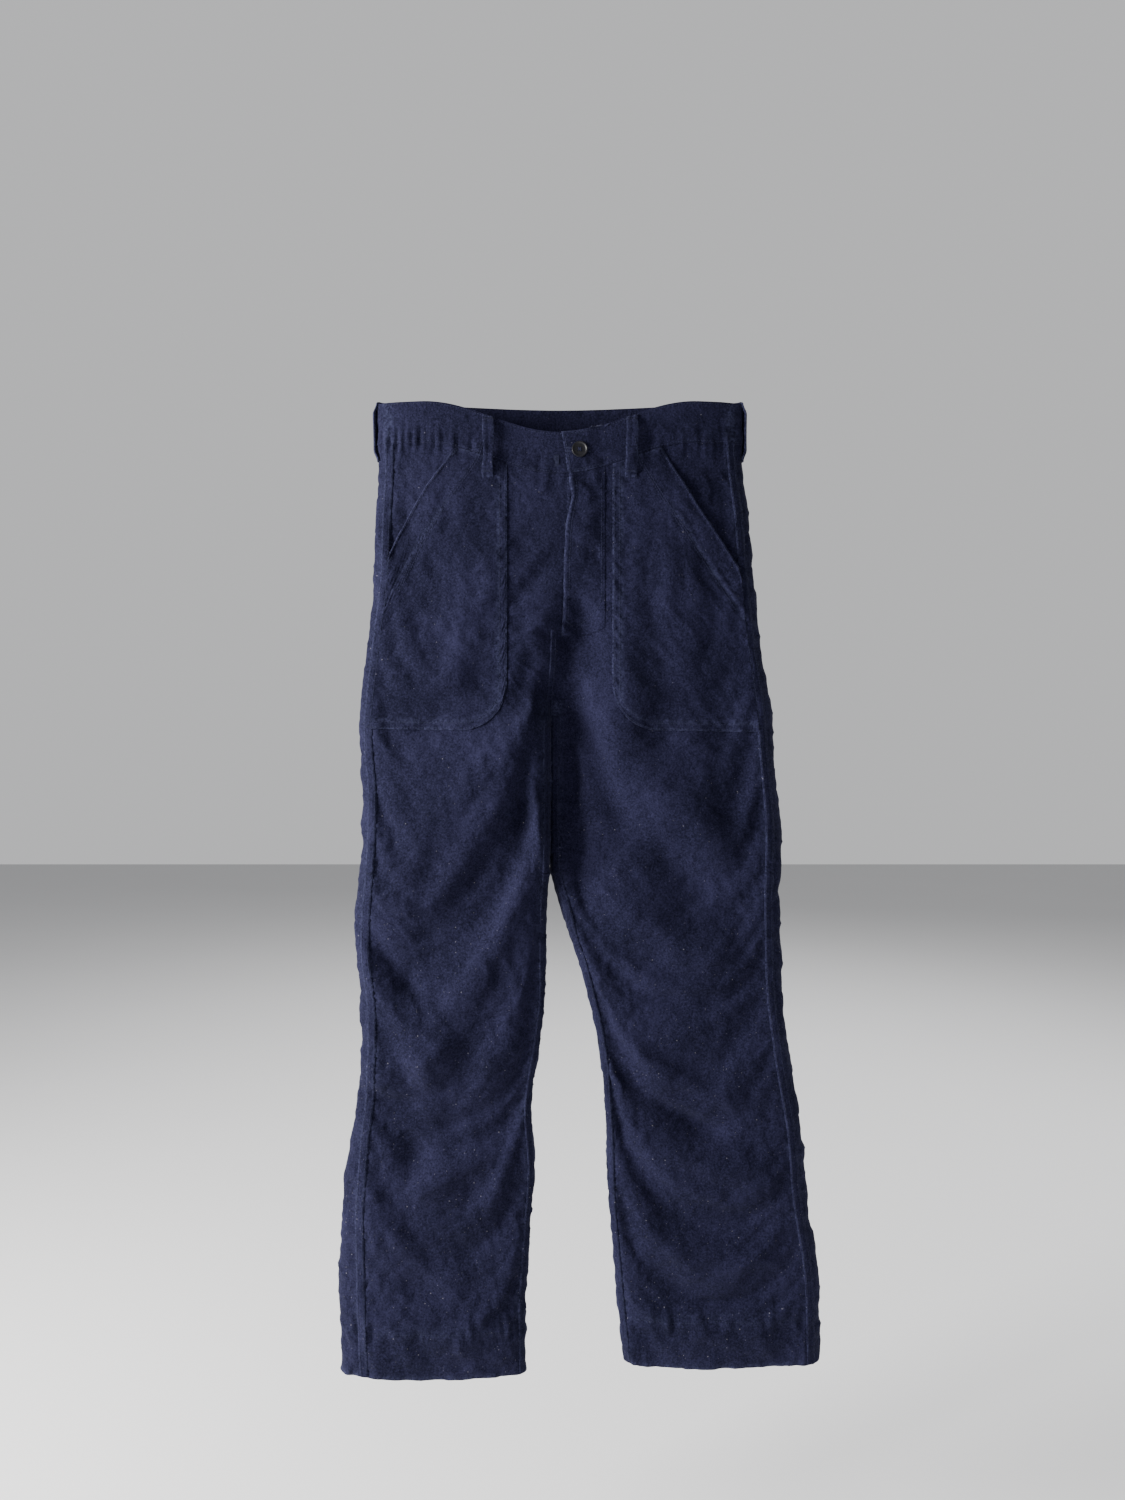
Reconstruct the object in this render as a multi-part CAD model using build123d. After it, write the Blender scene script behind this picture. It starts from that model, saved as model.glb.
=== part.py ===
"""Cotton utility trousers with patch pockets, hanging from the waistband.

Frame: millimetres. +Z is up, the front faces -Y and the wearer's right side is at -X.
The origin is the middle of the waistband's top edge, where the trousers are hung.
"""

import math
import os
from typing import NamedTuple

from build123d import *

# Cloth
CLOTH = 1.2  # one layer of canvas, as it lies in a seam
BAND_CLOTH = 2.4  # the waistband is two layers
BAND_LIFT = 0.6  # how far the waistband stands proud of the panels
SEAM_LIFT = 1.0  # how far a felled seam stands proud of the panels
RUN_GAP = 0.4  # room between pieces that move past each other

# Heights, each measured down from the waistband's top edge at the sides
BAND_HEIGHT = 46.0
HIP_DROP = 200.0
RISE_DROP = 275.0  # where the front and back rise start to turn under
CROTCH_DROP = 330.0
HIP_FOLD_DROP = 385.0
KNEE_DROP = 650.0
HEM_DROP = 1060.0
HEM_TURN = 48.0
HEM_RISE_LEFT = 12.0  # the left leg hangs a little shorter

# Widths across the front, laid flat
WAIST_WIDTH = 400.0
HEM_WIDTH = {"right": 204.0, "left": 217.0}
SHIN_WIDTH = {"right": 207.0, "left": 217.0}
KNEE_WIDTH = {"right": 202.0, "left": 212.0}

# How far the outer edge stands outside the waist's edge, at each height
HIP_FLARE = {"right": 5.0, "left": 13.0}
RISE_FLARE = {"right": 12.0, "left": 22.0}
CROTCH_FLARE = {"right": 16.0, "left": 30.0}
FOLD_FLARE = {"right": 19.0, "left": 36.0}
THIGH_FLARE = {"right": 21.0, "left": 43.0}
KNEE_FLARE = {"right": 19.0, "left": 45.0}
SHIN_FLARE = {"right": 34.0, "left": 68.0}
HEM_FLARE = {"right": 40.0, "left": 85.0}
LEG_SPLIT = 12.0  # the line where the legs meet lies this far to the wearer's right
LEG_GAP = 2.0  # half the room between the legs

# Depth of the front and back, from the side seams' plane
WAIST_DEPTH = 22.0
HIP_DEPTH = 24.0
CROTCH_DEPTH = 25.0
KNEE_DEPTH = 24.0
HEM_DEPTH = 26.0
ROUNDNESS = 3.0  # 2 is an ellipse, more is squarer
SECTION_POINTS = 13

# The front of the waistband sags between its sides
SAG = 32.0
SAG_SHOULDER = 4.0
SAG_REACH = 130.0

# Fly
FLY_EDGE = 3.0
FLY_WIDTH = 47.0
FLY_DROP = 236.0
FLY_BUTTON_COUNT = 4
FLY_BUTTON_FIRST_DROP = 104.0
FLY_BUTTON_PITCH = 34.0
BUTTON_X = 22.0
BUTTON_RADIUS = 8.5
BUTTON_HEIGHT = 3.0
BUTTON_SHANK_RADIUS = 2.0
BUTTON_STAND = 0.8  # how far a button stands in front of the cloth it closes
SMALL_BUTTON_RADIUS = 7.0
HOLE_CLEARANCE = 1.8  # radial, for a button as its flap swings off it
UNDERLAP_EDGE = 8.0
UNDERLAP_END = 46.0

# Belt loops
LOOP_WIDTH = 12.0
LOOP_GAP = 5.6
LOOP_FOOT = 8.0
LOOP_REACH = 3.0  # how deep a foot is drawn before the cloth trims it
FRONT_LOOP_X = 77.0
FRONT_LOOP_TOP = 16.0
FRONT_LOOP_BOTTOM = 87.0
SIDE_LOOP_TOP = 4.0
SIDE_LOOP_BOTTOM = 67.0
BACK_LOOP_X = 105.0
BACK_LOOP_TOP = 1.0
BACK_LOOP_BOTTOM = 62.0

# Front pockets
POCKET_GAP = 10.0  # room for a hand between the pocket and the front
POCKET_INNER_X = 58.0
POCKET_BOTTOM_DROP = 366.0
POCKET_CORNER = 50.0
MOUTH_TOP_X = 116.0
MOUTH_SIDE_DROP = 180.0

# Back pockets and their flaps
BACK_POCKET_GAP = 8.0
BACK_POCKET_WIDTH = 132.0
BACK_POCKET_INNER_X = 27.0
BACK_POCKET_TOP = 84.0
BACK_POCKET_HEIGHT = 160.0
BACK_POCKET_CHAMFER = 22.0
FLAP_RISE = 6.0  # the flap is sewn on this far above the pocket's top
FLAP_HEIGHT = 62.0
FLAP_OVERLAP = 2.5
FLAP_CHAMFER = 14.0
FLAP_BUTTON_UP = 16.0  # from the flap's lower edge to its button

# Felled seams
SEAM_WIDTH = 9.0
SIDE_SEAM_INSET = 7.0  # from the outer edge, seen from the front
INSEAM_INSET = 4.0

SIDES = ("right", "left")
SIGN = {"right": -1.0, "left": 1.0}
FACING = {"front": -1.0, "back": 1.0}


class Station(NamedTuple):
    """One level cut through one half of the trousers."""

    z: float
    centre: float  # x of the section's middle
    half: float  # signed half width, pointing at the outer edge
    depth: float
    sweep: float  # 90 for a half of the seat, 180 for a leg


def seat_station(side: str, drop: float, flare: float, depth: float) -> Station:
    """A cut above the crotch, where the two halves share the middle plane."""
    return Station(-drop, 0.0, SIGN[side] * (WAIST_WIDTH / 2 + flare), depth, 90.0)


def leg_station(side: str, drop: float, flare: float, width: float, depth: float) -> Station:
    """A cut through a leg of a stated width, measured from its outer edge."""
    outer = SIGN[side] * (WAIST_WIDTH / 2 + flare)
    half = SIGN[side] * width / 2
    return Station(-drop, outer - half, half, depth, 180.0)


def thigh_station(side: str, drop: float, flare: float, depth: float) -> Station:
    """A cut through a thigh, which reaches in to the line where the legs meet."""
    outer = SIGN[side] * (WAIST_WIDTH / 2 + flare)
    inner = -LEG_SPLIT + SIGN[side] * LEG_GAP
    return Station(-drop, (outer + inner) / 2, (outer - inner) / 2, depth, 180.0)


def seat_stations(side: str) -> list[Station]:
    """The cuts from the waist to the start of the crotch."""
    return [
        seat_station(side, 0.0, 0.0, WAIST_DEPTH),
        seat_station(side, HIP_DROP, HIP_FLARE[side], HIP_DEPTH),
        seat_station(side, RISE_DROP, RISE_FLARE[side], CROTCH_DEPTH),
    ]


def crotch_stations(side: str) -> list[Station]:
    """The cuts from the crotch to the fold at the top of the thigh."""
    return [
        thigh_station(side, CROTCH_DROP, CROTCH_FLARE[side], CROTCH_DEPTH),
        thigh_station(side, HIP_FOLD_DROP, FOLD_FLARE[side], CROTCH_DEPTH),
    ]


def knee_station(side: str, drop: float) -> Station:
    """The cut at the knee."""
    return leg_station(side, drop, KNEE_FLARE[side], KNEE_WIDTH[side], KNEE_DEPTH)


def thigh_stations(side: str) -> list[Station]:
    """The cuts of a thigh, from just under the hip fold to the knee."""
    middle = (HIP_FOLD_DROP + KNEE_DROP) / 2
    top = HIP_FOLD_DROP + RUN_GAP
    return [
        thigh_station(side, top, FOLD_FLARE[side], CROTCH_DEPTH),
        thigh_station(side, middle, THIGH_FLARE[side], CROTCH_DEPTH),
        knee_station(side, KNEE_DROP),
    ]


def hem_drop(side: str) -> float:
    """How far down a leg's hem hangs."""
    return HEM_DROP - (HEM_RISE_LEFT if side == "left" else 0.0)


def shin_stations(side: str) -> list[Station]:
    """The cuts of a lower leg, from just under the knee to the hem."""
    middle = (KNEE_DROP + hem_drop(side)) / 2
    return [
        knee_station(side, KNEE_DROP + RUN_GAP),
        leg_station(side, middle, SHIN_FLARE[side], SHIN_WIDTH[side], KNEE_DEPTH),
        leg_station(side, hem_drop(side), HEM_FLARE[side], HEM_WIDTH[side], HEM_DEPTH),
    ]


def section_point(cut: Station, face: str, lift: float, angle: float) -> tuple[float, float, float]:
    """A point on a rounded section, offset outward by lift, at an angle from the outer edge."""
    half = math.copysign(abs(cut.half) + lift, cut.half)
    across = math.cos(math.radians(angle))
    out = abs(math.sin(math.radians(angle)))
    x = cut.centre + half * math.copysign(abs(across) ** (2 / ROUNDNESS), across)
    y = FACING[face] * (cut.depth + lift) * out ** (2 / ROUNDNESS)
    return (x, y, cut.z)


def section_curve(cut: Station, face: str, lift: float) -> Edge:
    """A smooth curve round one face of a section."""
    steps = [cut.sweep * i / (SECTION_POINTS - 1) for i in range(SECTION_POINTS)]
    return Edge.make_spline([section_point(cut, face, lift, a) for a in steps])


def wall_wire(cut: Station, face: str, lift: float, thick: float) -> Wire:
    """The outline of a wall of cloth at one cut."""
    outer = section_curve(cut, face, lift)
    inner = section_curve(cut, face, lift - thick)
    far_end = Edge.make_line(outer @ 1, inner @ 1)
    near_end = Edge.make_line(outer @ 0, inner @ 0)
    return Wire([outer, far_end, inner, near_end])


def wall(cuts: list[Station], face: str, lift: float = 0.0, thick: float = CLOTH) -> Part:
    """A wall of cloth through a list of cuts. Its outer face stands lift outside the section."""
    wires = [wall_wire(cut, face, lift, thick) for cut in cuts]
    return Part() + Solid.make_loft(wires, ruled=True)


def block_wire(cut: Station, face: str, lift: float) -> Wire:
    """The outline of a filled half section of the seat."""
    curve = section_curve(cut, face, lift)
    to_middle = Edge.make_line(curve @ 1, (cut.centre, 0, cut.z))
    to_side = Edge.make_line((cut.centre, 0, cut.z), curve @ 0)
    return Wire([curve, to_middle, to_side])


def seat_block(lift: float) -> Part:
    """The seat as one filled block, for trimming what is sewn on it."""
    block = Part()
    for side in SIDES:
        for face in FACING:
            wires = [block_wire(cut, face, lift) for cut in seat_stations(side)]
            block += Solid.make_loft(wires, ruled=True)
    return block


def surface_y(side: str, face: str, x: float, drop: float) -> float:
    """The depth of the panels' outer face at a place on the seat."""
    cuts = seat_stations(side)
    index = 0 if drop < HIP_DROP else 1
    above, below = cuts[index], cuts[index + 1]
    share = (above.z + drop) / (above.z - below.z)
    half = above.half + (below.half - above.half) * share
    depth = above.depth + (below.depth - above.depth) * share
    return FACING[face] * depth * (1 - abs(x / half) ** ROUNDNESS) ** (1 / ROUNDNESS)


def prism(outline: Sketch, face: str, reach: float = 90.0) -> Part:
    """An outline drawn as seen from the front, pushed through the front or the back."""
    return extrude(Plane.XZ * outline, amount=-FACING[face] * reach)


def box_between(low: tuple, high: tuple) -> Part:
    """A box from its lowest to its highest corner."""
    size = [b - a for a, b in zip(low, high)]
    middle = [(a + b) / 2 for a, b in zip(low, high)]
    return Pos(*middle) * Box(*size)


def sag_line(drop: float) -> Edge:
    """The sagging line across the front, a stated drop below the waistband's top edge."""
    edge = WAIST_WIDTH / 2 + 2 * BAND_CLOTH
    points = [
        (-edge, -drop),
        (-SAG_REACH, -drop - SAG_SHOULDER),
        (0, -drop - SAG),
        (SAG_REACH, -drop - SAG_SHOULDER),
        (edge, -drop),
    ]
    return Edge.make_spline(points, tangents=[(1, 0), (1, 0)])


def front_band_outline() -> Sketch:
    """The front waistband as seen from the front."""
    top = sag_line(0)
    seam = sag_line(BAND_HEIGHT)
    ends = [Edge.make_line(top @ 0, seam @ 0), Edge.make_line(top @ 1, seam @ 1)]
    return make_face([top, seam, *ends])


def below_front_seam() -> Part:
    """All the room under the front waistband's seam."""
    seam = sag_line(BAND_HEIGHT)
    low = -HEM_DROP - BAND_HEIGHT
    left, right = seam @ 0, seam @ 1
    rim = Polyline((left.X, left.Y), (left.X, low), (right.X, low), (right.X, right.Y))
    wide = make_face([seam, *rim.edges()])
    flanks = box_between((-HEM_DROP, -HEM_DROP, low), (HEM_DROP, 0, -BAND_HEIGHT))
    flanks -= box_between((left.X, -HEM_DROP, low), (right.X, 0, -BAND_HEIGHT))
    return prism(wide, "front") + flanks


def fly_room(gap: float) -> Part:
    """The room that the fly's flap takes, grown by a gap at its hinge and its foot."""
    return box_between((0, -90, -FLY_DROP - gap), (FLY_EDGE + FLY_WIDTH + gap, 0, 20))


def front_panel(side: str) -> Part:
    """A front of the seat, from the waistband's seam to the hip fold."""
    cuts = seat_stations(side) + crotch_stations(side)
    panel = wall(cuts, "front") & below_front_seam()
    return panel - fly_room(RUN_GAP) if side == "left" else panel


def back_panel(side: str) -> Part:
    """A back of the seat, from the waistband's seam to the hip fold."""
    cuts = seat_stations(side) + crotch_stations(side)
    above = box_between((-WAIST_WIDTH, 0, -BAND_HEIGHT), (WAIST_WIDTH, 90, 20))
    return wall(cuts, "back") - above


def band_ring(side: str, face: str) -> Part:
    """A quarter of the waistband, before its edges are cut."""
    return wall(seat_stations(side), face, BAND_LIFT, BAND_CLOTH)


def waistband(side: str, face: str) -> Part:
    """A quarter of the waistband. The front left one starts behind the fly's flap."""
    ring = band_ring(side, face)
    if face == "back":
        return ring & box_between((-WAIST_WIDTH, 0, -BAND_HEIGHT), (WAIST_WIDTH, 90, 0))
    band = ring & prism(front_band_outline(), "front")
    return band - fly_room(RUN_GAP) if side == "left" else band


def underlap_lift() -> float:
    """How deep the fly's underlap lies, so that its buttons fit behind the flap."""
    return -(CLOTH + BUTTON_HEIGHT + 2 * RUN_GAP)


def fly_underlap() -> Part:
    """The strip behind the fly's flap, joined to the right front by a web."""
    foot = FLY_DROP - 2 * CLOTH
    top = SAG + RUN_GAP
    strip = Part()
    for side in SIDES:
        strip += wall(seat_stations(side), "front", underlap_lift(), CLOTH)
    strip &= box_between((-UNDERLAP_EDGE, -90, -foot), (UNDERLAP_END, 0, -top))
    web = wall(seat_stations("right"), "front", -CLOTH, -underlap_lift() - CLOTH)
    web &= box_between((-UNDERLAP_EDGE, -90, -foot), (CLOTH - UNDERLAP_EDGE, 0, -top))
    inside_band = band_ring("right", "front")
    return strip + (web - inside_band)


def button(radius: float) -> Part:
    """A four-hole button lying in the XY plane, its face up."""
    disc = Cylinder(radius, BUTTON_HEIGHT, align=(Align.CENTER, Align.CENTER, Align.MIN))
    rim = disc.edges().filter_by(GeomType.CIRCLE).sort_by(Axis.Z)[-1:]
    disc = fillet(rim, BUTTON_HEIGHT / 4)
    hole = Pos(0, 0, BUTTON_HEIGHT) * Cylinder(radius / 9, BUTTON_HEIGHT)
    return disc - PolarLocations(radius / 4, 4) * hole


def fly_button(index: int) -> Part:
    """One of the buttons sewn on the underlap."""
    drop = FLY_BUTTON_FIRST_DROP + index * FLY_BUTTON_PITCH
    y = surface_y("left", "front", BUTTON_X, drop) - underlap_lift() - CLOTH / 2
    placed = Pos(BUTTON_X, y, -drop) * Rot(90, 0, 0) * button(SMALL_BUTTON_RADIUS)
    return placed - fly_underlap()


def waist_button_drop() -> float:
    """The middle of the waistband at the fly."""
    return SAG + BAND_HEIGHT / 2


def waist_button() -> Part:
    """The waistband's button, on a thread shank that stands on the underlap."""
    drop = waist_button_drop()
    face_y = surface_y("left", "front", BUTTON_X, drop) - BAND_LIFT - BUTTON_STAND
    turn = Rot(90, 0, 0)
    disc = Pos(BUTTON_X, face_y, -drop) * turn * button(BUTTON_RADIUS)
    shank = Cylinder(BUTTON_SHANK_RADIUS, 9, align=(Align.CENTER, Align.CENTER, Align.MAX))
    shank = Pos(BUTTON_X, face_y, -drop) * turn * shank
    behind = wall(seat_stations("left"), "front", underlap_lift(), 9)
    return disc + (shank - behind)


def button_hole(x: float, drop: float, radius: float, face: str) -> Part:
    """A round hole through the cloth for a button to pass."""
    hole = Cylinder(radius + HOLE_CLEARANCE, 180)
    half = box_between((-WAIST_WIDTH, -90, -HEM_DROP), (WAIST_WIDTH, 0, 20))
    drilled = Pos(x, 0, -drop) * Rot(90, 0, 0) * hole
    return drilled & half if face == "front" else drilled - half


def flap_strip() -> Part:
    """The room between the fly's edge and its hinge line."""
    return box_between((FLY_EDGE, -90, -FLY_DROP), (FLY_EDGE + FLY_WIDTH, 0, 20))


def fly_overlap() -> Part:
    """The flap that covers the fly."""
    flap = wall(seat_stations("left"), "front", 0.0, CLOTH - RUN_GAP)
    return flap & below_front_seam() & flap_strip()


def waistband_tab() -> Part:
    """The end of the waistband above the fly's flap, with its buttonhole."""
    tab = band_ring("left", "front") & prism(front_band_outline(), "front") & flap_strip()
    return tab - button_hole(BUTTON_X, waist_button_drop(), BUTTON_RADIUS, "front")


def loop_blank(top: float, bottom: float, reach: float, gap: float) -> Part:
    """A belt loop pointing at -Y, its feet reaching in towards the cloth."""
    front = -(BAND_LIFT + gap)
    half = LOOP_WIDTH / 2
    strap = box_between((-half, front - CLOTH, -bottom), (half, reach, -top))
    room = box_between((-LOOP_WIDTH, front, LOOP_FOOT - bottom), (LOOP_WIDTH, reach, -top - LOOP_FOOT))
    return strap - room


def side_loop_gap(side: str) -> float:
    """The room under a side belt loop at its top, where the waist is narrowest."""
    return LOOP_GAP + HIP_FLARE[side] * SIDE_LOOP_BOTTOM / HIP_DROP


def belt_loop(place: Location, top: float, bottom: float, reach: float, gap: float, block: Part) -> Part:
    """A belt loop set on the waistband and trimmed to the cloth under it."""
    return place * loop_blank(top, bottom, reach, gap) - block


def belt_loops() -> dict[str, Part]:
    """The seven belt loops: two in front, two at the sides and three at the back."""
    under_band = box_between((-WAIST_WIDTH, -90, -BAND_HEIGHT), (WAIST_WIDTH, 90, 20))
    block = seat_block(0.0) + (seat_block(BAND_LIFT) & (prism(front_band_outline(), "front") + under_band))
    front = (FRONT_LOOP_TOP, FRONT_LOOP_BOTTOM, LOOP_REACH, LOOP_GAP, block)
    back = (BACK_LOOP_TOP, BACK_LOOP_BOTTOM, LOOP_REACH, LOOP_GAP, block)
    loops = {}
    for side in SIDES:
        x = SIGN[side] * FRONT_LOOP_X
        place = Pos(x, surface_y(side, "front", x, BAND_HEIGHT), 0)
        loops[f"belt_loop_front_{side}"] = belt_loop(place, *front)
        place = Pos(SIGN[side] * WAIST_WIDTH / 2, 0, 0) * Rot(0, 0, SIGN[side] * 90)
        beside = (SIDE_LOOP_TOP, SIDE_LOOP_BOTTOM, 2 * LOOP_REACH, side_loop_gap(side), block)
        loops[f"belt_loop_side_{side}"] = belt_loop(place, *beside)
        x = SIGN[side] * BACK_LOOP_X
        place = Pos(x, surface_y(side, "back", x, BAND_HEIGHT), 0) * Rot(0, 0, 180)
        loops[f"belt_loop_back_{side}"] = belt_loop(place, *back)
    place = Pos(0, WAIST_DEPTH, 0) * Rot(0, 0, 180)
    loops["belt_loop_back_centre"] = belt_loop(place, *back)
    return loops


def seam_x(side: str, drop: float) -> float:
    """Where the side seam's inner edge lies, between the hip and the hip fold."""
    cuts = [seat_stations(side)[1], seat_stations(side)[2], *crotch_stations(side)]
    for above, below in zip(cuts, cuts[1:]):
        if drop <= -below.z:
            break
    share = (above.z + drop) / (above.z - below.z)
    edges = [cut.centre + cut.half for cut in (above, below)]
    inset = SIDE_SEAM_INSET + SEAM_WIDTH + 2 * CLOTH
    return edges[0] + (edges[1] - edges[0]) * share - SIGN[side] * inset


def front_pocket_outline(side: str) -> Sketch:
    """A front pocket as seen from the front: slanted mouth, rounded inner lower corner."""
    sign = SIGN[side]
    top = -BAND_HEIGHT
    lower = -POCKET_BOTTOM_DROP
    inner_side = Line((sign * POCKET_INNER_X, top), (sign * POCKET_INNER_X, lower + POCKET_CORNER))
    turn = RadiusArc(
        inner_side @ 1,
        (sign * (POCKET_INNER_X + POCKET_CORNER), lower),
        -sign * POCKET_CORNER,
    )
    rest = Polyline(
        turn @ 1,
        (seam_x(side, POCKET_BOTTOM_DROP), lower),
        (seam_x(side, MOUTH_SIDE_DROP), -MOUTH_SIDE_DROP),
        (sign * MOUTH_TOP_X, top - SAG_SHOULDER),
        inner_side @ 0,
    )
    return make_face([*inner_side.edges(), *turn.edges(), *rest.edges()])


def front_pocket_mouth(side: str) -> Sketch:
    """A strip along a front pocket's slanted mouth, where it stays open."""
    sign = SIGN[side]
    outer = seam_x(side, MOUTH_SIDE_DROP)
    shift = 4 * CLOTH
    top = -BAND_HEIGHT - SAG_SHOULDER
    points = [
        (outer + sign * shift, -MOUTH_SIDE_DROP),
        (sign * MOUTH_TOP_X, top + shift),
        (sign * (MOUTH_TOP_X - shift), top - shift),
        (outer - sign * CLOTH, -MOUTH_SIDE_DROP - 2 * shift),
        (outer + sign * shift, -MOUTH_SIDE_DROP - shift),
    ]
    return make_face(Polyline(*points, close=True))


def pocket(side: str, face: str, outline: Sketch, mouth: Sketch, gap: float) -> Part:
    """A patch pocket that stands off the cloth, closed round its edge except at its mouth."""
    cuts = seat_stations(side) + crotch_stations(side)
    patch = wall(cuts, face, gap + CLOTH, CLOTH) & prism(outline, face)
    inside = offset(outline, amount=-CLOTH, kind=Kind.INTERSECTION)
    rim = wall(cuts, face, gap, gap) & prism(outline - inside - mouth, face)
    return patch + rim


def front_pocket(side: str) -> Part:
    """A front patch pocket, closed along the waistband's seam, with a notch for the belt loop's foot."""
    outline = front_pocket_outline(side)
    mouth = front_pocket_mouth(side)
    shape = pocket(side, "front", outline, mouth, POCKET_GAP)
    top_edge = wall(seat_stations(side), "front", POCKET_GAP, POCKET_GAP)
    shape += top_edge & prism(outline - mouth, "front") - Pos(0, 0, -CLOTH) * below_front_seam()
    x = SIGN[side] * FRONT_LOOP_X
    half = LOOP_WIDTH / 2 + RUN_GAP
    loop_room = box_between((x - half, -90, -FRONT_LOOP_BOTTOM - RUN_GAP), (x + half, 0, 0))
    return (shape & below_front_seam()) - loop_room


def clipped_outline(side: str, inner: float, width: float, top: float, height: float, cut: float) -> Sketch:
    """A rectangle as seen from the front, with its two lower corners cut off."""
    sign = SIGN[side]
    low = -top - height
    points = [
        (sign * inner, -top),
        (sign * inner, low + cut),
        (sign * (inner + cut), low),
        (sign * (inner + width - cut), low),
        (sign * (inner + width), low + cut),
        (sign * (inner + width), -top),
    ]
    return make_face(Polyline(*points, close=True))


def back_pocket(side: str) -> Part:
    """A back patch pocket, open along its top."""
    outline = clipped_outline(
        side, BACK_POCKET_INNER_X, BACK_POCKET_WIDTH, BACK_POCKET_TOP, BACK_POCKET_HEIGHT, BACK_POCKET_CHAMFER
    )
    mouth = clipped_outline(
        side, BACK_POCKET_INNER_X + CLOTH, BACK_POCKET_WIDTH - 2 * CLOTH, BACK_POCKET_TOP, 4 * CLOTH, CLOTH
    )
    return pocket(side, "back", outline, mouth, BACK_POCKET_GAP)


def flap_lift() -> float:
    """How far the back flap's outer face stands off the back."""
    return BACK_POCKET_GAP + 2 * CLOTH + RUN_GAP


def flap_button_place(side: str) -> tuple[float, float]:
    """The x and drop of a back pocket's button."""
    x = SIGN[side] * (BACK_POCKET_INNER_X + BACK_POCKET_WIDTH / 2)
    return x, BACK_POCKET_TOP - FLAP_RISE + FLAP_HEIGHT - FLAP_BUTTON_UP


def back_flap(side: str) -> Part:
    """A flap that closes a back pocket, with its buttonhole."""
    outline = clipped_outline(
        side,
        BACK_POCKET_INNER_X - FLAP_OVERLAP,
        BACK_POCKET_WIDTH + 2 * FLAP_OVERLAP,
        BACK_POCKET_TOP - FLAP_RISE,
        FLAP_HEIGHT,
        FLAP_CHAMFER,
    )
    flap = wall(seat_stations(side), "back", flap_lift(), CLOTH) & prism(outline, "back")
    x, drop = flap_button_place(side)
    return flap - button_hole(x, drop, SMALL_BUTTON_RADIUS, "back")


def back_pocket_button(side: str) -> Part:
    """A back pocket's button, on a thread shank that stands on the pocket."""
    x, drop = flap_button_place(side)
    face_y = surface_y(side, "back", x, drop) + flap_lift() + BUTTON_STAND
    turn = Rot(-90, 0, 0)
    disc = Pos(x, face_y, -drop) * turn * button(SMALL_BUTTON_RADIUS)
    shank = Cylinder(BUTTON_SHANK_RADIUS, 6, align=(Align.CENTER, Align.CENTER, Align.MAX))
    shank = Pos(x, face_y, -drop) * turn * shank
    behind = wall(seat_stations(side), "back", BACK_POCKET_GAP + CLOTH, BACK_POCKET_GAP)
    return disc + (shank - behind)


def felled_seam(cuts: list[Station], inset: float, from_outer: bool) -> Part:
    """A felled seam that runs down the front of a wall, an inset away from one edge."""
    near = []
    far = []
    for cut in cuts:
        inward = -math.copysign(1, cut.half) if from_outer else math.copysign(1, cut.half)
        edge = cut.centre + cut.half if from_outer else cut.centre - cut.half
        near.append((edge + inward * inset, cut.z))
        far.append((edge + inward * (inset + SEAM_WIDTH), cut.z))
    strip = make_face(Polyline(*near, *reversed(far), close=True))
    return wall(cuts, "front", SEAM_LIFT, SEAM_LIFT) & prism(strip, "front")


def hip_side_seam(side: str) -> Part:
    """The side seam from the side belt loop to the hip fold."""
    cuts = seat_stations(side) + crotch_stations(side)
    seam = felled_seam(cuts, SIDE_SEAM_INSET, True)
    loop_foot = box_between((-WAIST_WIDTH, -90, -SIDE_LOOP_BOTTOM - RUN_GAP), (WAIST_WIDTH, 90, 20))
    return seam - loop_foot


def seat_seam() -> Part:
    """The felled seam down the middle of the seat."""
    seam = wall(seat_stations("right"), "back", SEAM_LIFT, SEAM_LIFT)
    top = BACK_LOOP_BOTTOM + CLOTH
    return seam & box_between((-SEAM_WIDTH, 0, -RISE_DROP), (0, 90, -top))


def hem(side: str) -> Part:
    """The turned-up hem inside the end of a leg."""
    cuts = shin_stations(side)
    ring = wall(cuts, "front", -CLOTH, CLOTH) + wall(cuts, "back", -CLOTH, CLOTH)
    end = -hem_drop(side)
    return ring & box_between((-WAIST_WIDTH, -90, end), (WAIST_WIDTH, 90, end + HEM_TURN))


def seat_nodes() -> dict[str, Part]:
    """The pieces of the seat and waist."""
    nodes = {}
    for side in SIDES:
        nodes[f"front_panel_{side}"] = front_panel(side)
        nodes[f"back_panel_{side}"] = back_panel(side)
        nodes[f"waistband_front_{side}"] = waistband(side, "front")
        nodes[f"waistband_back_{side}"] = waistband(side, "back")
        nodes[f"front_pocket_{side}"] = front_pocket(side)
        nodes[f"back_pocket_{side}"] = back_pocket(side)
        nodes[f"back_pocket_flap_{side}"] = back_flap(side)
        nodes[f"back_pocket_button_{side}"] = back_pocket_button(side)
        nodes[f"side_seam_hip_{side}"] = hip_side_seam(side)
    nodes["seat_seam"] = seat_seam()
    nodes.update(belt_loops())
    return nodes


def fly_nodes() -> dict[str, Part]:
    """The pieces of the fly."""
    nodes = {"fly_underlap": fly_underlap(), "waist_button": waist_button()}
    for index in range(FLY_BUTTON_COUNT):
        nodes[f"fly_button_{index + 1}"] = fly_button(index)
    nodes["fly_overlap"] = fly_overlap()
    nodes["waistband_tab"] = waistband_tab()
    return nodes


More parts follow.
